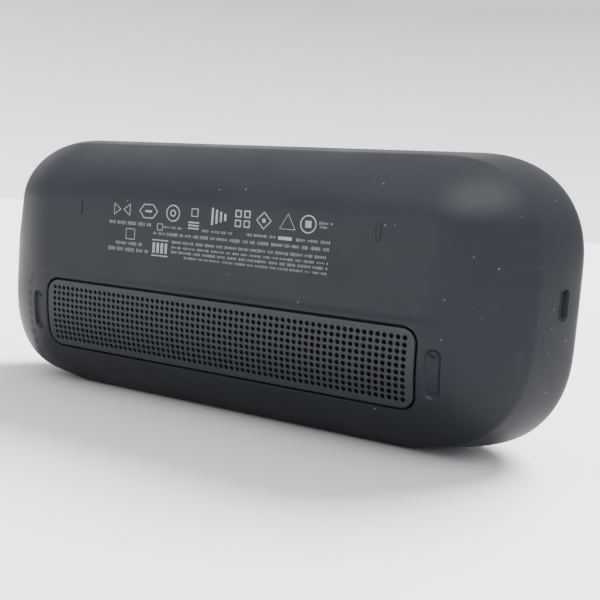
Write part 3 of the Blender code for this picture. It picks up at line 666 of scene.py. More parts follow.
def circuit():
    """Green solder mask with fine copper runs under it."""
    made = Finish("solder_mask", Coat_Weight=0.4, Coat_Roughness=0.2)
    cells = made.node(
        "ShaderNodeTexVoronoi",
        {"Vector": made.place, "Scale": 420.0},
        distance="CHEBYCHEV",
        feature="F1",
    )
    runs = made.remap(made.waves(0.0009, "DIAGONAL"), 0.55, 0.65)
    pads = made.remap(cells.outputs["Distance"], 0.12, 0.16, 1.0, 0.0)
    mask = made.mix(runs, (0.006, 0.050, 0.024), (0.012, 0.085, 0.040))
    made.colour(made.mix(pads, mask, (0.42, 0.38, 0.24)))
    made.roughness(made.remap(made.noise(0.002), 0.3, 0.7, 0.30, 0.45))
    made.bump(runs, 0.00002)
    return made.material


def cover_glass():
    made = Finish("cover_glass", Base_Color=(0.80, 0.82, 0.84, 1.0), Transmission_Weight=1.0, IOR=1.27)
    smears = made.noise(0.018, 5.0, (1, 1, 0.4))
    made.roughness(made.remap(smears, 0.45, 0.8, 0.004, 0.030))
    return made.material


def screen_panel():
    """A switched-off panel: nearly black, with the fine rows of its cells."""
    made = Finish("screen_panel", Specular_IOR_Level=0.05)
    cells = made.maths("MULTIPLY", made.waves(0.00024, "X"), made.waves(0.00024, "Z"))
    made.colour(made.mix(cells, (0.006, 0.007, 0.009), (0.012, 0.013, 0.017)))
    made.roughness(made.remap(made.noise(0.01), 0.3, 0.7, 0.18, 0.26))
    return made.material


def striped(name, first, second, size, direction, rough, **fixed):
    made = Finish(name, **fixed)
    lines = made.remap(made.waves(size, direction), 0.4, 0.6)
    made.colour(made.mix(lines, first, second))
    made.roughness(made.remap(made.noise(0.004), 0.3, 0.7, *rough))
    made.bump(lines, 0.00002)
    return made.material


SLATE = slate_plastic()
GRILLE = grille_plastic()
BUTTON = simple(
    "button_plastic", (0.020, 0.022, 0.027), (0.027, 0.029, 0.034), 0.004, (0.42, 0.52), 0.00018, 0.00001,
    Specular_IOR_Level=0.20,
)
BEZEL = simple(
    "bezel_plastic", (0.0080, 0.0090, 0.0115), (0.0100, 0.0112, 0.0140), 0.020, (0.40, 0.50),
    0.00020, 0.000010, Specular_IOR_Level=0.17,
)
INK = simple("ink", (0.110, 0.114, 0.118), (0.180, 0.184, 0.188), 0.003, (0.55, 0.70), 0.00020, 0.000005)
PALE_INK = simple(
    "pale_ink", (0.045, 0.048, 0.054), (0.085, 0.089, 0.096), 0.004, (0.55, 0.70), 0.0002, 0.000005
)
SYMBOL = simple("symbol_ink", (0.30, 0.31, 0.32), (0.36, 0.37, 0.38), 0.002, (0.45, 0.60), 0.0002, 0.000005)
MASK = simple(
    "mask_print", (0.003, 0.003, 0.004), (0.005, 0.005, 0.006), 0.010, (0.40, 0.50), 0.0004, 0.000001,
    Specular_IOR_Level=0.05,
)
RUBBER = simple("rubber", (0.016, 0.016, 0.017), (0.024, 0.024, 0.025), 0.003, (0.75, 0.92), 0.0003, 0.00003)
BLACK = simple(
    "black_plastic", (0.012, 0.012, 0.013), (0.019, 0.019, 0.020), 0.006, (0.42, 0.55), 0.0003, 0.00002
)
CHIP = simple(
    "chip_resin", (0.015, 0.015, 0.016), (0.025, 0.025, 0.026), 0.0015, (0.55, 0.7), 0.00015, 0.00001
)
THERMAL = simple("thermal_pad", (0.30, 0.34, 0.40), (0.36, 0.40, 0.46), 0.002, (0.7, 0.85), 0.0004, 0.00003)
FERRITE = simple("ferrite", (0.07, 0.07, 0.075), (0.12, 0.12, 0.125), 0.0015, (0.45, 0.65), 0.0003, 0.00002)
PAPER = simple(
    "cone_paper", (0.020, 0.020, 0.022), (0.040, 0.040, 0.042), 0.0009, (0.80, 0.95), 0.0004, 0.00005
)
JACKET = simple(
    "lead_jacket", (0.014, 0.014, 0.015), (0.022, 0.022, 0.023), 0.002, (0.5, 0.65), 0.0003, 0.00001
)
LENS = simple(
    "lens_glass", (0.010, 0.012, 0.030), (0.020, 0.014, 0.040), 0.001, (0.02, 0.05), 0.001, 0.000001,
    Coat_Weight=1.0,
)
STEEL = brushed("sheet_steel", (0.46, 0.46, 0.45), (0.62, 0.62, 0.60), (0.28, 0.42), (1, 1, 0.08))
ALUMINIUM = brushed("aluminium", (0.60, 0.61, 0.62), (0.74, 0.75, 0.76), (0.30, 0.44), (0.06, 1, 1))
SCREW = brushed("screw_steel", (0.30, 0.30, 0.31), (0.46, 0.46, 0.46), (0.25, 0.40), (1, 1, 1))
# Steel for the USB-C receptacle, made nearly black: painted shade for the hollow of the port, not the steel's
# own colour.
PORT_SHADE_STEEL = brushed("port_shade_steel", (0.030, 0.030, 0.032), (0.060, 0.060, 0.062), (0.35, 0.50), (1, 1, 0.2))
CLOTH = woven("black_cloth", (0.004, 0.004, 0.004), (0.012, 0.012, 0.013), 0.0003, 0.0001)
CIRCUIT = circuit()
GLASS = cover_glass()
SCREEN = screen_panel()
FLEX = striped(
    "polyimide", (0.36, 0.14, 0.025), (0.50, 0.22, 0.05), 0.0010, "X", (0.30, 0.45), Coat_Weight=0.3
)
ANTENNA = striped("antenna_film", (0.30, 0.15, 0.04), (0.55, 0.32, 0.14), 0.0022, "DIAGONAL", (0.3, 0.45))

CARRIED = {
    CLOTH: ("acoustic_mesh",),
    SCREEN: ("display_panel",),
    LENS: ("camera_lens",),
    THERMAL: ("thermal_pad",),
    JACKET: ("usb_lead",),
    # The receptacle takes the darkened steel, which is painted shade inside the port.
    PORT_SHADE_STEEL: ("usb_c_receptacle",),
    STEEL: (
        "backlight_unit", "volume_down_switch", "volume_up_switch", "mute_switch", "left_driver_frame",
        "right_driver_frame", "radiator_frame", "processor_shield",
    ),
    ALUMINIUM: ("display_tray", "heat_spreader"),
    BLACK: ("camera_module", "speaker_box", "speaker_baffle"),
    CHIP: ("light_sensor", "processor_chip", "memory_chip", "audio_amplifier"),
    CIRCUIT: ("button_board", "left_microphone", "right_microphone", "mainboard", "usb_board"),
    FERRITE: ("left_driver_magnet", "right_driver_magnet", "power_inductor"),
    PAPER: ("left_driver_cone", "right_driver_cone", "radiator_plate"),
    FLEX: ("display_flex", "button_flex"),
    ANTENNA: ("left_antenna", "right_antenna"),
}


def paint_carried():
    """Every CAD node that stays in view gets its material; the screws share one."""
    painted = {name: material for material, names in CARRIED.items() for name in names}
    for name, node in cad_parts.items():
        material = painted.get(name, SCREW if "screw" in name else None)
        if material:
            node.data.materials.clear()
            node.data.materials.append(material)


# ---- the rear case
def toward_centre(points, distance):
    centre = np.array([0.0, BACK_CENTRE_Z])
    run = centre - points
    return points + run / np.linalg.norm(run, axis=1)[:, None] * distance


def flat_ring(section, y, foot=0.0):
    """A section's outline at a depth."""
    return on_surface(outline(section, foot), lambda x, z: np.full(len(x), y))


def band_ring(share):
    """The side band, from the crease (0) to the girth (1)."""
    crease = outline(CREASE, 1.0)
    girth = outline(GIRTH, 1.0)
    flat = girth + (crease - girth) * (1 - share) ** BAND_POWER
    start = base_y(crease[:, 0], crease[:, 1])
    return np.column_stack([flat[:, 0], start + (GIRTH_Y - start) * share, flat[:, 1]])


def front_ring(share, inset=0.0):
    """From the girth (0) to the rim (1); the foot's flat slopes away before the split."""
    mixed = [wide + (narrow - wide) * share**2 for wide, narrow in zip(GIRTH, RIM)]
    foot = 1 - float(ease((share - FOOT_SHARE) / (SPLIT - FOOT_SHARE)))
    return flat_ring(shrink(mixed, inset), GIRTH_Y + (RIM_Y - GIRTH_Y) * share, foot)


def case_rings():
    """Rings from the back's rim over the soft crease and the band to the split."""
    crease = band_ring(0.0)
    first = toward_centre(crease[:, (0, 2)], CREASE_SOFT)
    first = on_surface(first, base_y)
    last = band_ring(BAND_START)
    rings = []
    for share in (0.0, 0.2, 0.4, 0.6, 0.8, 1.0):
        weights = ((1 - share) ** 2, 2 * share * (1 - share), share**2)
        rings.append(weights[0] * first + weights[1] * crease + weights[2] * last)
    rings += [band_ring(share) for share in np.linspace(BAND_START, 1.0, 26)[1:]]
    rings += [front_ring(share) for share in np.linspace(0.0, SPLIT - 0.012, 16)[1:]]
    rings.append(front_ring(SPLIT - 0.004, 0.00006))
    rings.append(front_ring(SPLIT, 0.00022))
    return rings


def base_normals(points, faces):
    """Outward vertex normals of the featureless sheet."""
    mesh = bpy.data.meshes.new("base")
    mesh.from_pydata(points.tolist(), [], [tuple(face) for face in faces])
    normals = np.zeros(len(points) * 3)
    mesh.vertices.foreach_get("normal", normals)
    normals = normals.reshape(-1, 3)
    middle = np.array([0.0, 0.0, BACK_CENTRE_Z])
    if ((points - middle) * normals).sum() < 0:
        normals = -normals
    bpy.data.meshes.remove(mesh)
    return normals


def back_fill(loops):
    """Points on the back: a coarse grid, and fine ones over the ribs and dimples."""
    coarse = grid(-CREASE[0], CREASE[0], 0.0, CREASE[1], BACK_MESH)
    fine = []
    for side in (-1, 1):
        for x, z, size, spacing in (
            (RIB_X, RIB_Z, RIB_SIZE, 0.00017),
            (DIMPLE_X, DIMPLE_Z, DIMPLE_SIZE, 0.00034),
        ):
            reach_x, reach_z = size[1] / 2 + 3 * spacing, size[0] / 2 + 3 * spacing
            patch = grid(side * x - reach_x, side * x + reach_x, z - reach_z, z + reach_z, spacing)
            fine.append(patch)
            apart = (np.abs(coarse[:, 0] - side * x) > reach_x + BACK_MESH / 3) | (
                np.abs(coarse[:, 1] - z) > reach_z + BACK_MESH / 3
            )
            coarse = coarse[apart]
    coarse = coarse[inside(coarse, loops[0])]
    coarse = coarse[opening_distance(*coarse.T) > 0]
    coarse = clear_of(coarse, loops, BACK_MESH * 0.5)
    return np.vstack([coarse, *fine])


def port_cutter():
    slot = pill(*PORT_OPENING)
    return prism(slot, lambda a, b, t: (t, PORT_Y + b, PORT_Z + a), *PORT_CUT)


def button_cutter(node):
    low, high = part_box(node)
    around = 2 * GAP - BUTTON_FLANGE
    size = (high.x - low.x + around, high.y - low.y + around)
    x, y = (low.x + high.x) / 2, (low.y + high.y) / 2
    return prism(pill(*size), lambda a, b, t: (x + a, y + b, t), low.z, high.z + 0.003)


def microphone_cutter(node):
    low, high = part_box(node)
    x, y = (low.x + high.x) / 2, (low.y + high.y) / 2
    return prism(circle(x, y, MIC_RADIUS, 20), lambda a, b, t: (a, b, t), high.z, GIRTH[1] + 0.001)


def pad_cutter():
    half, deep = PAD_HIGH.x + GAP, PAD_HIGH.z + GAP
    low, high = PAD_LOW.y - GAP, PAD_HIGH.y + GAP
    corners = rounded_rectangle(half, low, high, PAD_CORNER, PAD_SPACING)
    return prism(corners, lambda a, b, t: (a, b, t), -0.001, deep)


def make_rear_case():
    rings = case_rings()
    first = rings[0][:, (0, 2)]
    loops = [first]
    loops += [grille_outline(GROOVE + share * GROOVE_ROUND) for share in EDGE_SHARES]
    flat, triangles, rim = triangulate(
        loops,
        back_fill(loops),
        lambda middles: inside(middles, first) & (opening_distance(*middles.T) > 0),
    )
    outer, base = on_surface(flat, case_y), on_surface(flat, base_y)
    count, around = len(flat), len(first)
    ring_index = [rim] + [
        [count + number * around + step for step in range(around)] for number in range(len(rings) - 1)
    ]
    faces = [tuple(face) for face in triangles]
    for ring, following in zip(ring_index, ring_index[1:]):
        for step in range(around):
            after = (step + 1) % around
            faces.append((ring[step], following[step], following[after], ring[after]))
    outer = np.vstack([outer, *rings[1:]])
    base = np.vstack([base, *rings[1:]])
    inner = base - base_normals(base, faces) * WALL
    case = piece(
        "rear_case", close_sheet(outer, inner, faces), None, replaces=["rear_shell"]
    )
    cutters = [port_cutter(), pad_cutter()]
    cutters += [button_cutter(f"{name}_button") for name in BUTTONS]
    cutters += [microphone_cutter(f"{side}_microphone") for side in ("left", "right")]
    open_up(case, cutters, SLATE)
    exact_normals(case.data, case_y)


# ---- the grille
def make_grille():
    loops = [grille_outline(-share * GROOVE_ROUND) for share in EDGE_SHARES]
    half = (COLUMNS - 1) / 2
    for z in ROW_Z:
        for column in range(COLUMNS):
            x = (column - half) * PITCH
            for radius in (HOLE_RADIUS, HOLE_RADIUS + HOLE_BEVEL):
                loops.append(circle(x, z, radius, HOLE_SIDES))
    first = loops[0]
    flat, triangles, _ = triangulate(
        loops, [], lambda middles: inside(middles, first) & (hole_distance(*middles.T) > 0)
    )
    outer = on_surface(flat, grille_y)
    inner = on_surface(flat, lambda x, z: base_y(x, z) - GRILLE_THICK)
    made = piece(
        "speaker_grille", close_sheet(outer, inner, triangles.tolist()), GRILLE,
        replaces=["rear_grille"], sharp=60,
    )
    exact_normals(made.data, grille_y)


# ---- the front
def make_bezel():
    """A ring from the split over the rim to the glass pocket, with a slot for the shutter's knob."""
    lip_y = FRONT_Y + 0.0004
    pocket_y = GLASS_BACK_Y + GAP
    ledge_y = pocket_y + 0.0013
    lip = 0.0014
    shares = np.linspace(PARTING + 0.012, 1.0, 12)
    rings = [front_ring(PARTING, 0.00022), front_ring(PARTING + 0.004, 0.00006)]
    rings += [front_ring(share) for share in shares]
    for step in range(1, 7):
        turn = pi / 2 * step / 6
        y = RIM_Y + (lip_y - RIM_Y) * sin(turn)
        rings.append(flat_ring(shrink(RIM, lip * (1 - cos(turn))), y))
    pocket = (
        (GLASS_INSET - 0.00015, lip_y),
        (GLASS_INSET, lip_y + 0.00015),
        (GLASS_INSET, pocket_y),
        (GLASS_INSET + 0.0020, pocket_y),
        (GLASS_INSET + 0.0020, ledge_y),
    )
    rings += [flat_ring(shrink(RIM, inset), y) for inset, y in pocket]
    rings += [front_ring(share, WALL) for share in (*reversed(shares[:-5]), PARTING)]
    bezel = piece(
        "screen_bezel", loft(rings, closed=True), None, replaces=["front_bezel"]
    )
    low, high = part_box("camera_shutter")
    half = (high.x - low.x) / 4 + SHUTTER_TRAVEL / 2 + GAP
    slot = rounded_rectangle(half, low.y - GAP, high.y, 0.0003, 0.001)
    middle = (low.x + high.x) / 2 - SHUTTER_TRAVEL / 2
    open_up(bezel, [prism(slot, lambda a, b, t: (middle + a, b, t), *SLOT_HEIGHTS)], BEZEL)


def make_glass():
    edge = shrink(RIM, GLASS_INSET + GAP)
    soft = 0.0005
    rings = [flat_ring(shrink(edge, 0.0001), GLASS_BACK_Y), flat_ring(edge, GLASS_BACK_Y - 0.0001)]
    for step in range(7):
        turn = pi / 2 * step / 6
        inset, y = soft * (1 - cos(turn)), FRONT_Y + soft * (1 - sin(turn))
        rings.append(flat_ring(shrink(edge, inset), y))
    piece("cover_glass", loft(rings), GLASS, replaces=["front_glass"], sharp=60)


def make_mask():
    """The black print behind the glass, with windows for the screen, camera and light sensor."""
    rim = outline(shrink(RIM, 0.0032))
    half, low, high = LCD_HIGH.x - 0.0018, LCD_LOW.z + 0.0018, LCD_HIGH.z - 0.0018
    lens_z, lens_radius = (LENS_LOW.z + LENS_HIGH.z) / 2, (LENS_HIGH.z - LENS_LOW.z) / 2 + 0.0006
    sensor = ((SENSOR_LOW.x + SENSOR_HIGH.x) / 2, (SENSOR_LOW.z + SENSOR_HIGH.z) / 2, 0.0009)
    windows = [circle(0.0, lens_z, lens_radius, 40), circle(*sensor, 24)]
    loops = [rim, rounded_rectangle(half, low, high, 0.0016, 0.002), *windows]
    flat, triangles, _ = triangulate(
        loops, [],
        lambda middles: inside(middles, rim) & ~np.any([inside(middles, loop) for loop in loops[1:]], axis=0),
    )
    outer = on_surface(flat, lambda x, z: np.full(len(x), GLASS_BACK_Y + 0.00005))
    inner = on_surface(flat, lambda x, z: np.full(len(x), GLASS_BACK_Y + 0.00013))
    piece("glass_mask", close_sheet(outer, inner, triangles.tolist()), MASK)


def dome_rings(size, place, base, top, rise, soft, steps=6):
    """Rings of a pill-shaped cap: straight sides, a rounded edge and a slightly domed top."""
    rings = [[place(a, b, base) for a, b in pill(*size)]]
    for step in range(steps + 1):
        turn = pi / 2 * step / steps
        inset = soft * (1 - cos(turn))
        level = top - rise - soft * (1 - sin(turn))
        rings.append([place(a, b, level) for a, b in pill(size[0] - 2 * inset, size[1] - 2 * inset)])
    for share in (0.75, 0.5, 0.25, 0.08):
        shape = pill((size[0] - size[1]) + (size[1] - 2 * soft) * share, (size[1] - 2 * soft) * share)
        rings.append([place(a, b, top - rise * share * share) for a, b in shape])
    return rings


def bar(x, y, length, width, base, top, turn=0.0):
    """A small raised bar with round ends, turned about Z."""
    points = []
    for a, b in pill(length, width, 6):
        points.append((x + a * cos(turn) - b * sin(turn), y + a * sin(turn) + b * cos(turn)))
    return [[(a, b, level) for a, b in points] for level in (base, top)]


def make_buttons():
    """Domed caps with a raised plus, minus, or crossed ring."""
    for name in BUTTONS:
        low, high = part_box(f"{name}_button")
        x, y = (low.x + high.x) / 2, (low.y + high.y) / 2
        size = (high.x - low.x - BUTTON_FLANGE, high.y - low.y - BUTTON_FLANGE)
        flange_size = (high.x - low.x, high.y - low.y)
        under = low.z + 0.0009
        place = lambda a, b, t: (x + a, y + b, t)
        cap = loft(dome_rings(size, place, under + 0.0005, high.z, 0.00025, 0.00045))
        add_loft(cap, [[place(a, b, t) for a, b in pill(*flange_size)] for t in (under, under + 0.0008)])
        turns = [circle(x, y, 0.0012, 16)] * 2
        add_loft(cap, [[(a, b, t) for a, b in ring] for ring, t in zip(turns, (low.z, under + 0.0001))])
        piece(f"{name}_cap", cap, BUTTON, f"{name}_button", [f"{name}_button"])
        base, top = high.z - 0.0003, high.z - 0.00002
        mark = bmesh.new()
        if name == "mute":
            ring = [circle(x, y, radius, 28) for radius in (0.00095, 0.00125, 0.00125, 0.00095)]
            levels = (base, base, top, top)
            add_loft(mark, [[(a, b, t) for a, b in flat] for flat, t in zip(ring, levels)], closed=True)
            add_loft(mark, bar(x, y, 0.0038, 0.00035, base, top, radians(45)))
        else:
            add_loft(mark, bar(x, y, 0.0024, 0.00035, base, top))
            if name == "volume_up":
                add_loft(mark, bar(x, y, 0.0024, 0.00035, base, top, radians(90)))
        piece(f"{name}_mark", mark, SYMBOL, f"{name}_button")


def make_shutter():
    """The sliding shutter: a blade with rounded corners, a stem and a ribbed knob."""
    low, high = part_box("camera_shutter")
    x, y = (low.x + high.x) / 2, (low.y + high.y) / 2
    blade_y = (low.y, low.y + 0.0007)  # low.y is the knob's front, so the blade meets the glass
    place_front = lambda a, b, t: (x + a, t, b)
    blade = rounded_rectangle((high.x - low.x) / 2, low.z, low.z + 0.0052, 0.0008, 0.001)
    made = prism(blade, place_front, *blade_y)
    stem = rounded_rectangle(0.0020, low.z + 0.0050, high.z - 0.0004, 0.0003, 0.001)
    add_loft(made, [[place_front(a, b, t) for a, b in stem] for t in blade_y])
    place_up = lambda a, b, t: (x + a, y + b, t)
    add_loft(made, dome_rings((0.0068, 0.0024), place_up, high.z - 0.001, high.z, 0.0001, 0.0003))
    piece("shutter_slider", made, BLACK, "camera_shutter", ["camera_shutter"])
    grips = bmesh.new()
    for step in range(-2, 3):
        add_loft(grips, bar(x + step * 0.0009, y, 0.0015, 0.0003, high.z - 0.0003, high.z + 0.00005, pi / 2))
    piece("shutter_grips", grips, SYMBOL, "camera_shutter")


def make_foot():
    """A soft pad with rounded edges and shallow grooves along it."""
    half, low, high = PAD_HIGH.x, PAD_LOW.y, PAD_HIGH.y
    top, soft = PAD_HIGH.z, 0.0004
    rings = [rounded_rectangle(half, low, high, PAD_CORNER, PAD_SPACING)]
    levels = [top]
    for step in range(6):
        turn = pi / 2 * step / 5
        inset = soft * (1 - cos(turn))
        edges = (half - inset, low + inset, high - inset, PAD_CORNER - inset)
        rings.append(rounded_rectangle(*edges, PAD_SPACING))
        levels.append(soft * (1 - sin(turn)))
    pad = loft([[(a, b, t) for a, b in ring] for ring, t in zip(rings, levels)])
    made = piece("foot_rubber", pad, None, replaces=["foot_pad"])
    cutters = []
    grooves = 6
    for number in range(grooves):
        y = low + (high - low) * (number + 1) / (grooves + 1)
        groove = pill(2 * half - 0.006, 0.0007, 6)
        cutters.append(prism(groove, lambda a, b, t, y=y: (a, y + b, t), -0.0005, 0.0003))
    open_up(made, cutters, RUBBER)


def band_x(y, z):
    """Where the case's -X side lies at a height and depth, on the band."""
    ring_low, ring_high = 0.0, 1.0
    for _ in range(30):
        share = (ring_low + ring_high) / 2
        side = band_side(share, z)
        if side[1] > y:
            ring_low = share
        else:
            ring_high = share
    return side[0]


def band_side(share, z):
    """The band's (x, y) on the -X side at a height, between the crease and the girth."""
    middle = (CREASE[1] + CREASE[2]) / 2
    reach = (CREASE[1] - CREASE[2]) / 2
    bow = 1 + SIDE_BOW * (1 - ((z - middle) / reach) ** 2)
    crease, girth = -CREASE[0] * bow, -GIRTH[0] * bow
    start = float(base_y(crease, z))
    return girth + (crease - girth) * (1 - share) ** BAND_POWER, start + (GIRTH_Y - start) * share


def make_port_lip():
    """A thin rounded lip round the USB-C opening, lying on the side band."""
    thick = PORT_LIP
    centre = pill(PORT_OPENING[0] + 2 * thick, PORT_OPENING[1] + 2 * thick, 12)
    centre = [(band_x(PORT_Y + b, PORT_Z + a), PORT_Y + b, PORT_Z + a) for a, b in centre]
    points = [Vector(point) for point in centre]
    rings = []
    for index, point in enumerate(points):
        run = (points[(index + 1) % len(points)] - points[index - 1]).normalized()
        outward = Vector((-1, 0, 0))
        across = run.cross(outward).normalized()
        outward = across.cross(run)
        ring = []
        for step in range(10):
            turn = 2 * pi * step / 10
            ring.append(point + across * thick * cos(turn) + outward * thick * sin(turn))
        rings.append(ring)
    piece("port_lip", loft(rings, closed=True), SLATE)


# ---- print on the back
PRINT_RAISE = 0.00003
PRINT_SINK = 0.00005


def ink_ring(loop, rise):
    return on_surface(np.asarray(loop), lambda x, z: case_y(x, z) + rise)


def add_patch(made, loop, hole=None):
    """A thin closed patch of ink over the back, solid or with a hole of as many points."""
    rings = [ink_ring(loop, -PRINT_SINK), ink_ring(loop, PRINT_RAISE)]
    if hole is not None:
        rings += [ink_ring(hole, PRINT_RAISE), ink_ring(hole, -PRINT_SINK)]
    add_loft(made, rings, closed=hole is not None)


def polygon_ring(made, x, z, radius_x, radius_z, sides, stroke, start=0.0):
    """A closed ring of a regular shape, stretched to its two radii."""
    unit = circle(0.0, 0.0, 1.0, sides, start)
    outer = unit * (radius_x, radius_z) + (x, z)
    add_patch(made, outer, unit * (radius_x - stroke, radius_z - stroke) + (x, z))


def block(made, x, z, width, height):
    corners = ((-1, -1), (1, -1), (1, 1), (-1, 1))
    add_patch(made, [(x + side * width / 2, z + rise * height / 2) for side, rise in corners])


def tick_row(made, start, end, z, height, dice):
    """A line of small blocks of uneven width, in groups, which stands for a line of fine print."""
    x = start
    while x > end:
        for _ in range(dice.randint(3, 9)):
            width = dice.uniform(0.00022, 0.00052)
            tall = height * dice.uniform(0.55, 1.0)
            if x - width < end:
                break
            block(made, x - width / 2, z, width, tall)
            x -= width + dice.uniform(0.00016, 0.00026)
        x -= dice.uniform(0.0004, 0.0009)


def make_marks():
    """Nine plain shapes in a row, high on the back; they carry no meaning."""
    made = bmesh.new()
    z, tall, stroke = 0.0697, 0.0029, 0.00042
    for side, start in ((1, pi), (-1, 0.0)):
        polygon_ring(made, 0.0395 + side * 0.0026, z, 0.0021, 0.0025, 3, stroke, start)
    polygon_ring(made, 0.0277, z, 0.0041, tall, 6, stroke)
    block(made, 0.0277, z, 0.0030, 0.0007)
    polygon_ring(made, 0.0171, z, tall, tall, 32, stroke)
    polygon_ring(made, 0.0171, z, 0.0012, 0.0012, 24, stroke)
    polygon_ring(made, 0.0080, z + 0.0008, 0.0020, 0.0020, 4, stroke, pi / 4)
    for row in range(3):
        block(made, 0.0083, 0.0671 - row * 0.0010, 0.0044, 0.0005)
    for column, share in enumerate((1.0, 0.8, 0.6, 0.4)):
        block(made, 0.0008 - column * 0.0017, z, 0.0008, 2 * tall * share)
    for column in (-1, 1):
        for row in (-1, 1):
            polygon_ring(made, -0.0111 + column * 0.0017, z + row * 0.0016, 0.0017, 0.0017, 4, 0.0006, pi / 4)
    polygon_ring(made, -0.0192, z, tall, tall, 4, stroke)
    block(made, -0.0192, z, 0.0012, 0.0012)
    polygon_ring(made, -0.0280, z - 0.0005, 0.0034, 0.0034, 3, 0.0003, pi / 2)
    polygon_ring(made, -0.0354, z, tall, tall, 36, stroke)
    block(made, -0.0354, z, 0.0022, 0.0022)
    piece("back_marks", made, INK, sharp=20)


def make_fine_print():
    """Rows of ticks and a few boxes where fine print would be; nothing can be read in them."""
    made = bmesh.new()
    dice = Random(7)
    small, low = 0.0011, 0.0009
    for start, end, z, tall in (
        (0.0451, 0.0257, 0.0650, 0.0016),
        (0.0208, 0.0130, 0.0647, low),
        (0.0047, -0.0077, 0.0646, small),
        (-0.0131, -0.0240, 0.0647, small),
        (-0.0315, -0.0435, 0.0645, small),
        (-0.0392, -0.0441, 0.0703, small),
        (-0.0395, -0.0428, 0.0691, low),
        (0.0251, -0.0435, 0.0623, 0.0013),
        (0.0418, 0.0291, 0.0578, 0.0013),
        (0.0450, 0.0262, 0.0556, 0.0016),
        (0.0170, -0.0434, 0.0598, 0.0012),
        (0.0170, -0.0434, 0.0580, low),
        (0.0170, -0.0434, 0.0564, small),
        (0.0115, -0.0434, 0.0548, low),
    ):
        tick_row(made, start, end, z, tall, dice)
    piece("fine_print", made, PALE_INK, sharp=20)
    boxes = bmesh.new()
    block(boxes, -0.0274, 0.0646, 0.0050, 0.0011)
    polygon_ring(boxes, 0.0224, 0.0646, 0.0017, 0.0017, 4, 0.0003, pi / 4)
    polygon_ring(boxes, 0.0353, 0.0612, 0.0029, 0.0027, 4, 0.0003, pi / 4)
    for z in (0.0600, 0.0546):
        block(boxes, 0.0220, z, 0.0070, 0.0004)
    for column in range(4):
        block(boxes, 0.0246 - column * 0.00175, 0.0573, 0.0011, 0.0036)
    piece("print_boxes", boxes, INK, sharp=20)


# ---- camera, light and stage
CAMERA_AT = (-0.1520, 0.2529, 0.0722)
CAMERA_AZIMUTH, CAMERA_ELEVATION, CAMERA_ROLL = 207.67, 5.98, 4.39
CAMERA_LENS = 48.2

# Strengths of the world: the backdrop the camera sees, and the room that lights the object.
HORIZON, BACKDROP_TOP = 2.75, 1.08
WALL_LOW, WALL_HIGH = 0.22, 1.8
ROOM_LIGHT, CEILING_LIGHT = 1.15, 1.7

# The soft lights: name, azimuth, elevation, distance, size and power.
LIGHTS = (
    ("glow", 226, 58, 1.0, 0.60, 15.0),
    ("above", 185, 62, 1.0, 1.0, 6.0),
    ("low", 160, 4, 0.7, 0.3, 2.0),
)


def direction(azimuth, elevation):
    """Out from the case, at angles in degrees; azimuth 0 is in front of the screen."""
    azimuth, elevation = radians(azimuth), radians(elevation)
    return Vector((sin(azimuth) * cos(elevation), -cos(azimuth) * cos(elevation), sin(elevation)))


def place_facing(name, data, place, back):
    """A camera or light at a place, with back pointing away from what it faces."""
    made = bpy.data.objects.new(name, data)
    bpy.context.scene.collection.objects.link(made)
    made.location = place
    made.rotation_mode = "QUATERNION"
    made.rotation_quaternion = (-back).to_track_quat("-Z", "Y")
    return made


def make_camera():
    data = bpy.data.cameras.new("camera")
    data.lens = CAMERA_LENS
    data.clip_start = 0.01
    camera = place_facing("camera", data, CAMERA_AT, direction(CAMERA_AZIMUTH, CAMERA_ELEVATION))
    roll = Quaternion((0, 0, 1), radians(CAMERA_ROLL))
    camera.rotation_quaternion = camera.rotation_quaternion @ roll
    bpy.context.scene.camera = camera


def link_to_floor(light, floor, state):
    """INCLUDE makes the light fall on the floor alone, and EXCLUDE on everything else."""
    receivers = bpy.data.collections.new(f"{light.name}_receivers")
    receivers.objects.link(floor)
    receivers.collection_objects[0].light_linking.link_state = state
    light.light_linking.receiver_collection = receivers


def make_light(name, azimuth, elevation, distance, size, power, floor):
    """A soft square light that faces the middle of the case and leaves the floor alone."""
    data = bpy.data.lights.new(name, "AREA")
    data.size = size
    data.energy = power
    back = direction(azimuth, elevation)
    light = place_facing(name, data, Vector((0.0, 0.0, 0.05)) + back * distance, back)
    link_to_floor(light, floor, "EXCLUDE")


def make_sun(azimuth, elevation, spread_angle, strength, floor):
    """A wide light over the floor alone, from the screen side, so the case casts a soft shadow."""
    data = bpy.data.lights.new("sun", "SUN")
    data.energy = strength
    data.angle = radians(spread_angle)
    light = place_facing("sun", data, (0.0, 0.0, 0.0), direction(azimuth, elevation))
    link_to_floor(light, floor, "INCLUDE")


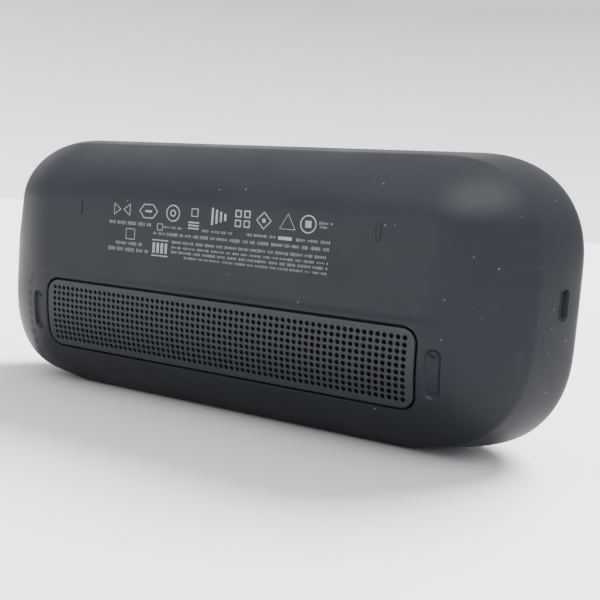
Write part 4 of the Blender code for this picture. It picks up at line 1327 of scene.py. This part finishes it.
def make_stage():
    floor_finish = Finish("pale_floor", Roughness=0.8)
    cloud = floor_finish.noise(0.4, 3.0)
    floor_finish.colour(floor_finish.mix(cloud, (0.78, 0.78, 0.78), (0.81, 0.81, 0.81)))
    floor_finish.bump(floor_finish.noise(0.002, 3.0), 0.00005)
    made = bmesh.new()
    bmesh.ops.create_circle(made, cap_ends=True, radius=12.0, segments=96)
    mesh = bpy.data.meshes.new("floor")
    made.to_mesh(mesh)
    made.free()
    mesh.materials.append(floor_finish.material)
    floor = bpy.data.objects.new("floor", mesh)
    bpy.context.scene.collection.objects.link(floor)
    return floor


def make_world():
    """A wall on the screen side that brightens with height, a room behind the camera, and a backdrop.

    The camera sees the pale backdrop on every side; the wall and the room only light the object.
    """
    world = bpy.data.worlds.new("studio")
    world.use_nodes = True
    nodes = Nodes(world.node_tree)
    towards = nodes.node("ShaderNodeTexCoord").outputs["Generated"]
    axes = nodes.node("ShaderNodeSeparateXYZ", {0: towards}).outputs
    backdrop = nodes.remap(axes["Z"], 0.0, 0.25, HORIZON, BACKDROP_TOP)
    behind = nodes.remap(axes["Z"], 0.0, 0.9, ROOM_LIGHT, CEILING_LIGHT)
    wall = nodes.remap(axes["Z"], 0.0, 0.4, WALL_LOW, WALL_HIGH)
    room = nodes.remap(axes["Y"], -0.35, 0.35, wall, behind)
    seen = nodes.node("ShaderNodeLightPath").outputs["Is Camera Ray"]
    mixed = nodes.node("ShaderNodeMix", {0: seen, 2: room, 3: backdrop}, data_type="FLOAT")
    background = world.node_tree.nodes["Background"]
    background.inputs["Color"].default_value = (0.97, 0.985, 1.0, 1.0)
    world.node_tree.links.new(mixed.outputs[0], background.inputs["Strength"])
    bpy.context.scene.world = world


def main():
    make_camera()
    make_world()
    floor = make_stage()
    make_sun(345, 45, 30, 13.5, floor)
    for light in LIGHTS:
        make_light(*light, floor)
    paint_carried()
    make_rear_case()
    make_grille()
    make_bezel()
    make_glass()
    make_mask()
    make_buttons()
    make_shutter()
    make_foot()
    make_port_lip()
    make_marks()
    make_fine_print()


main()
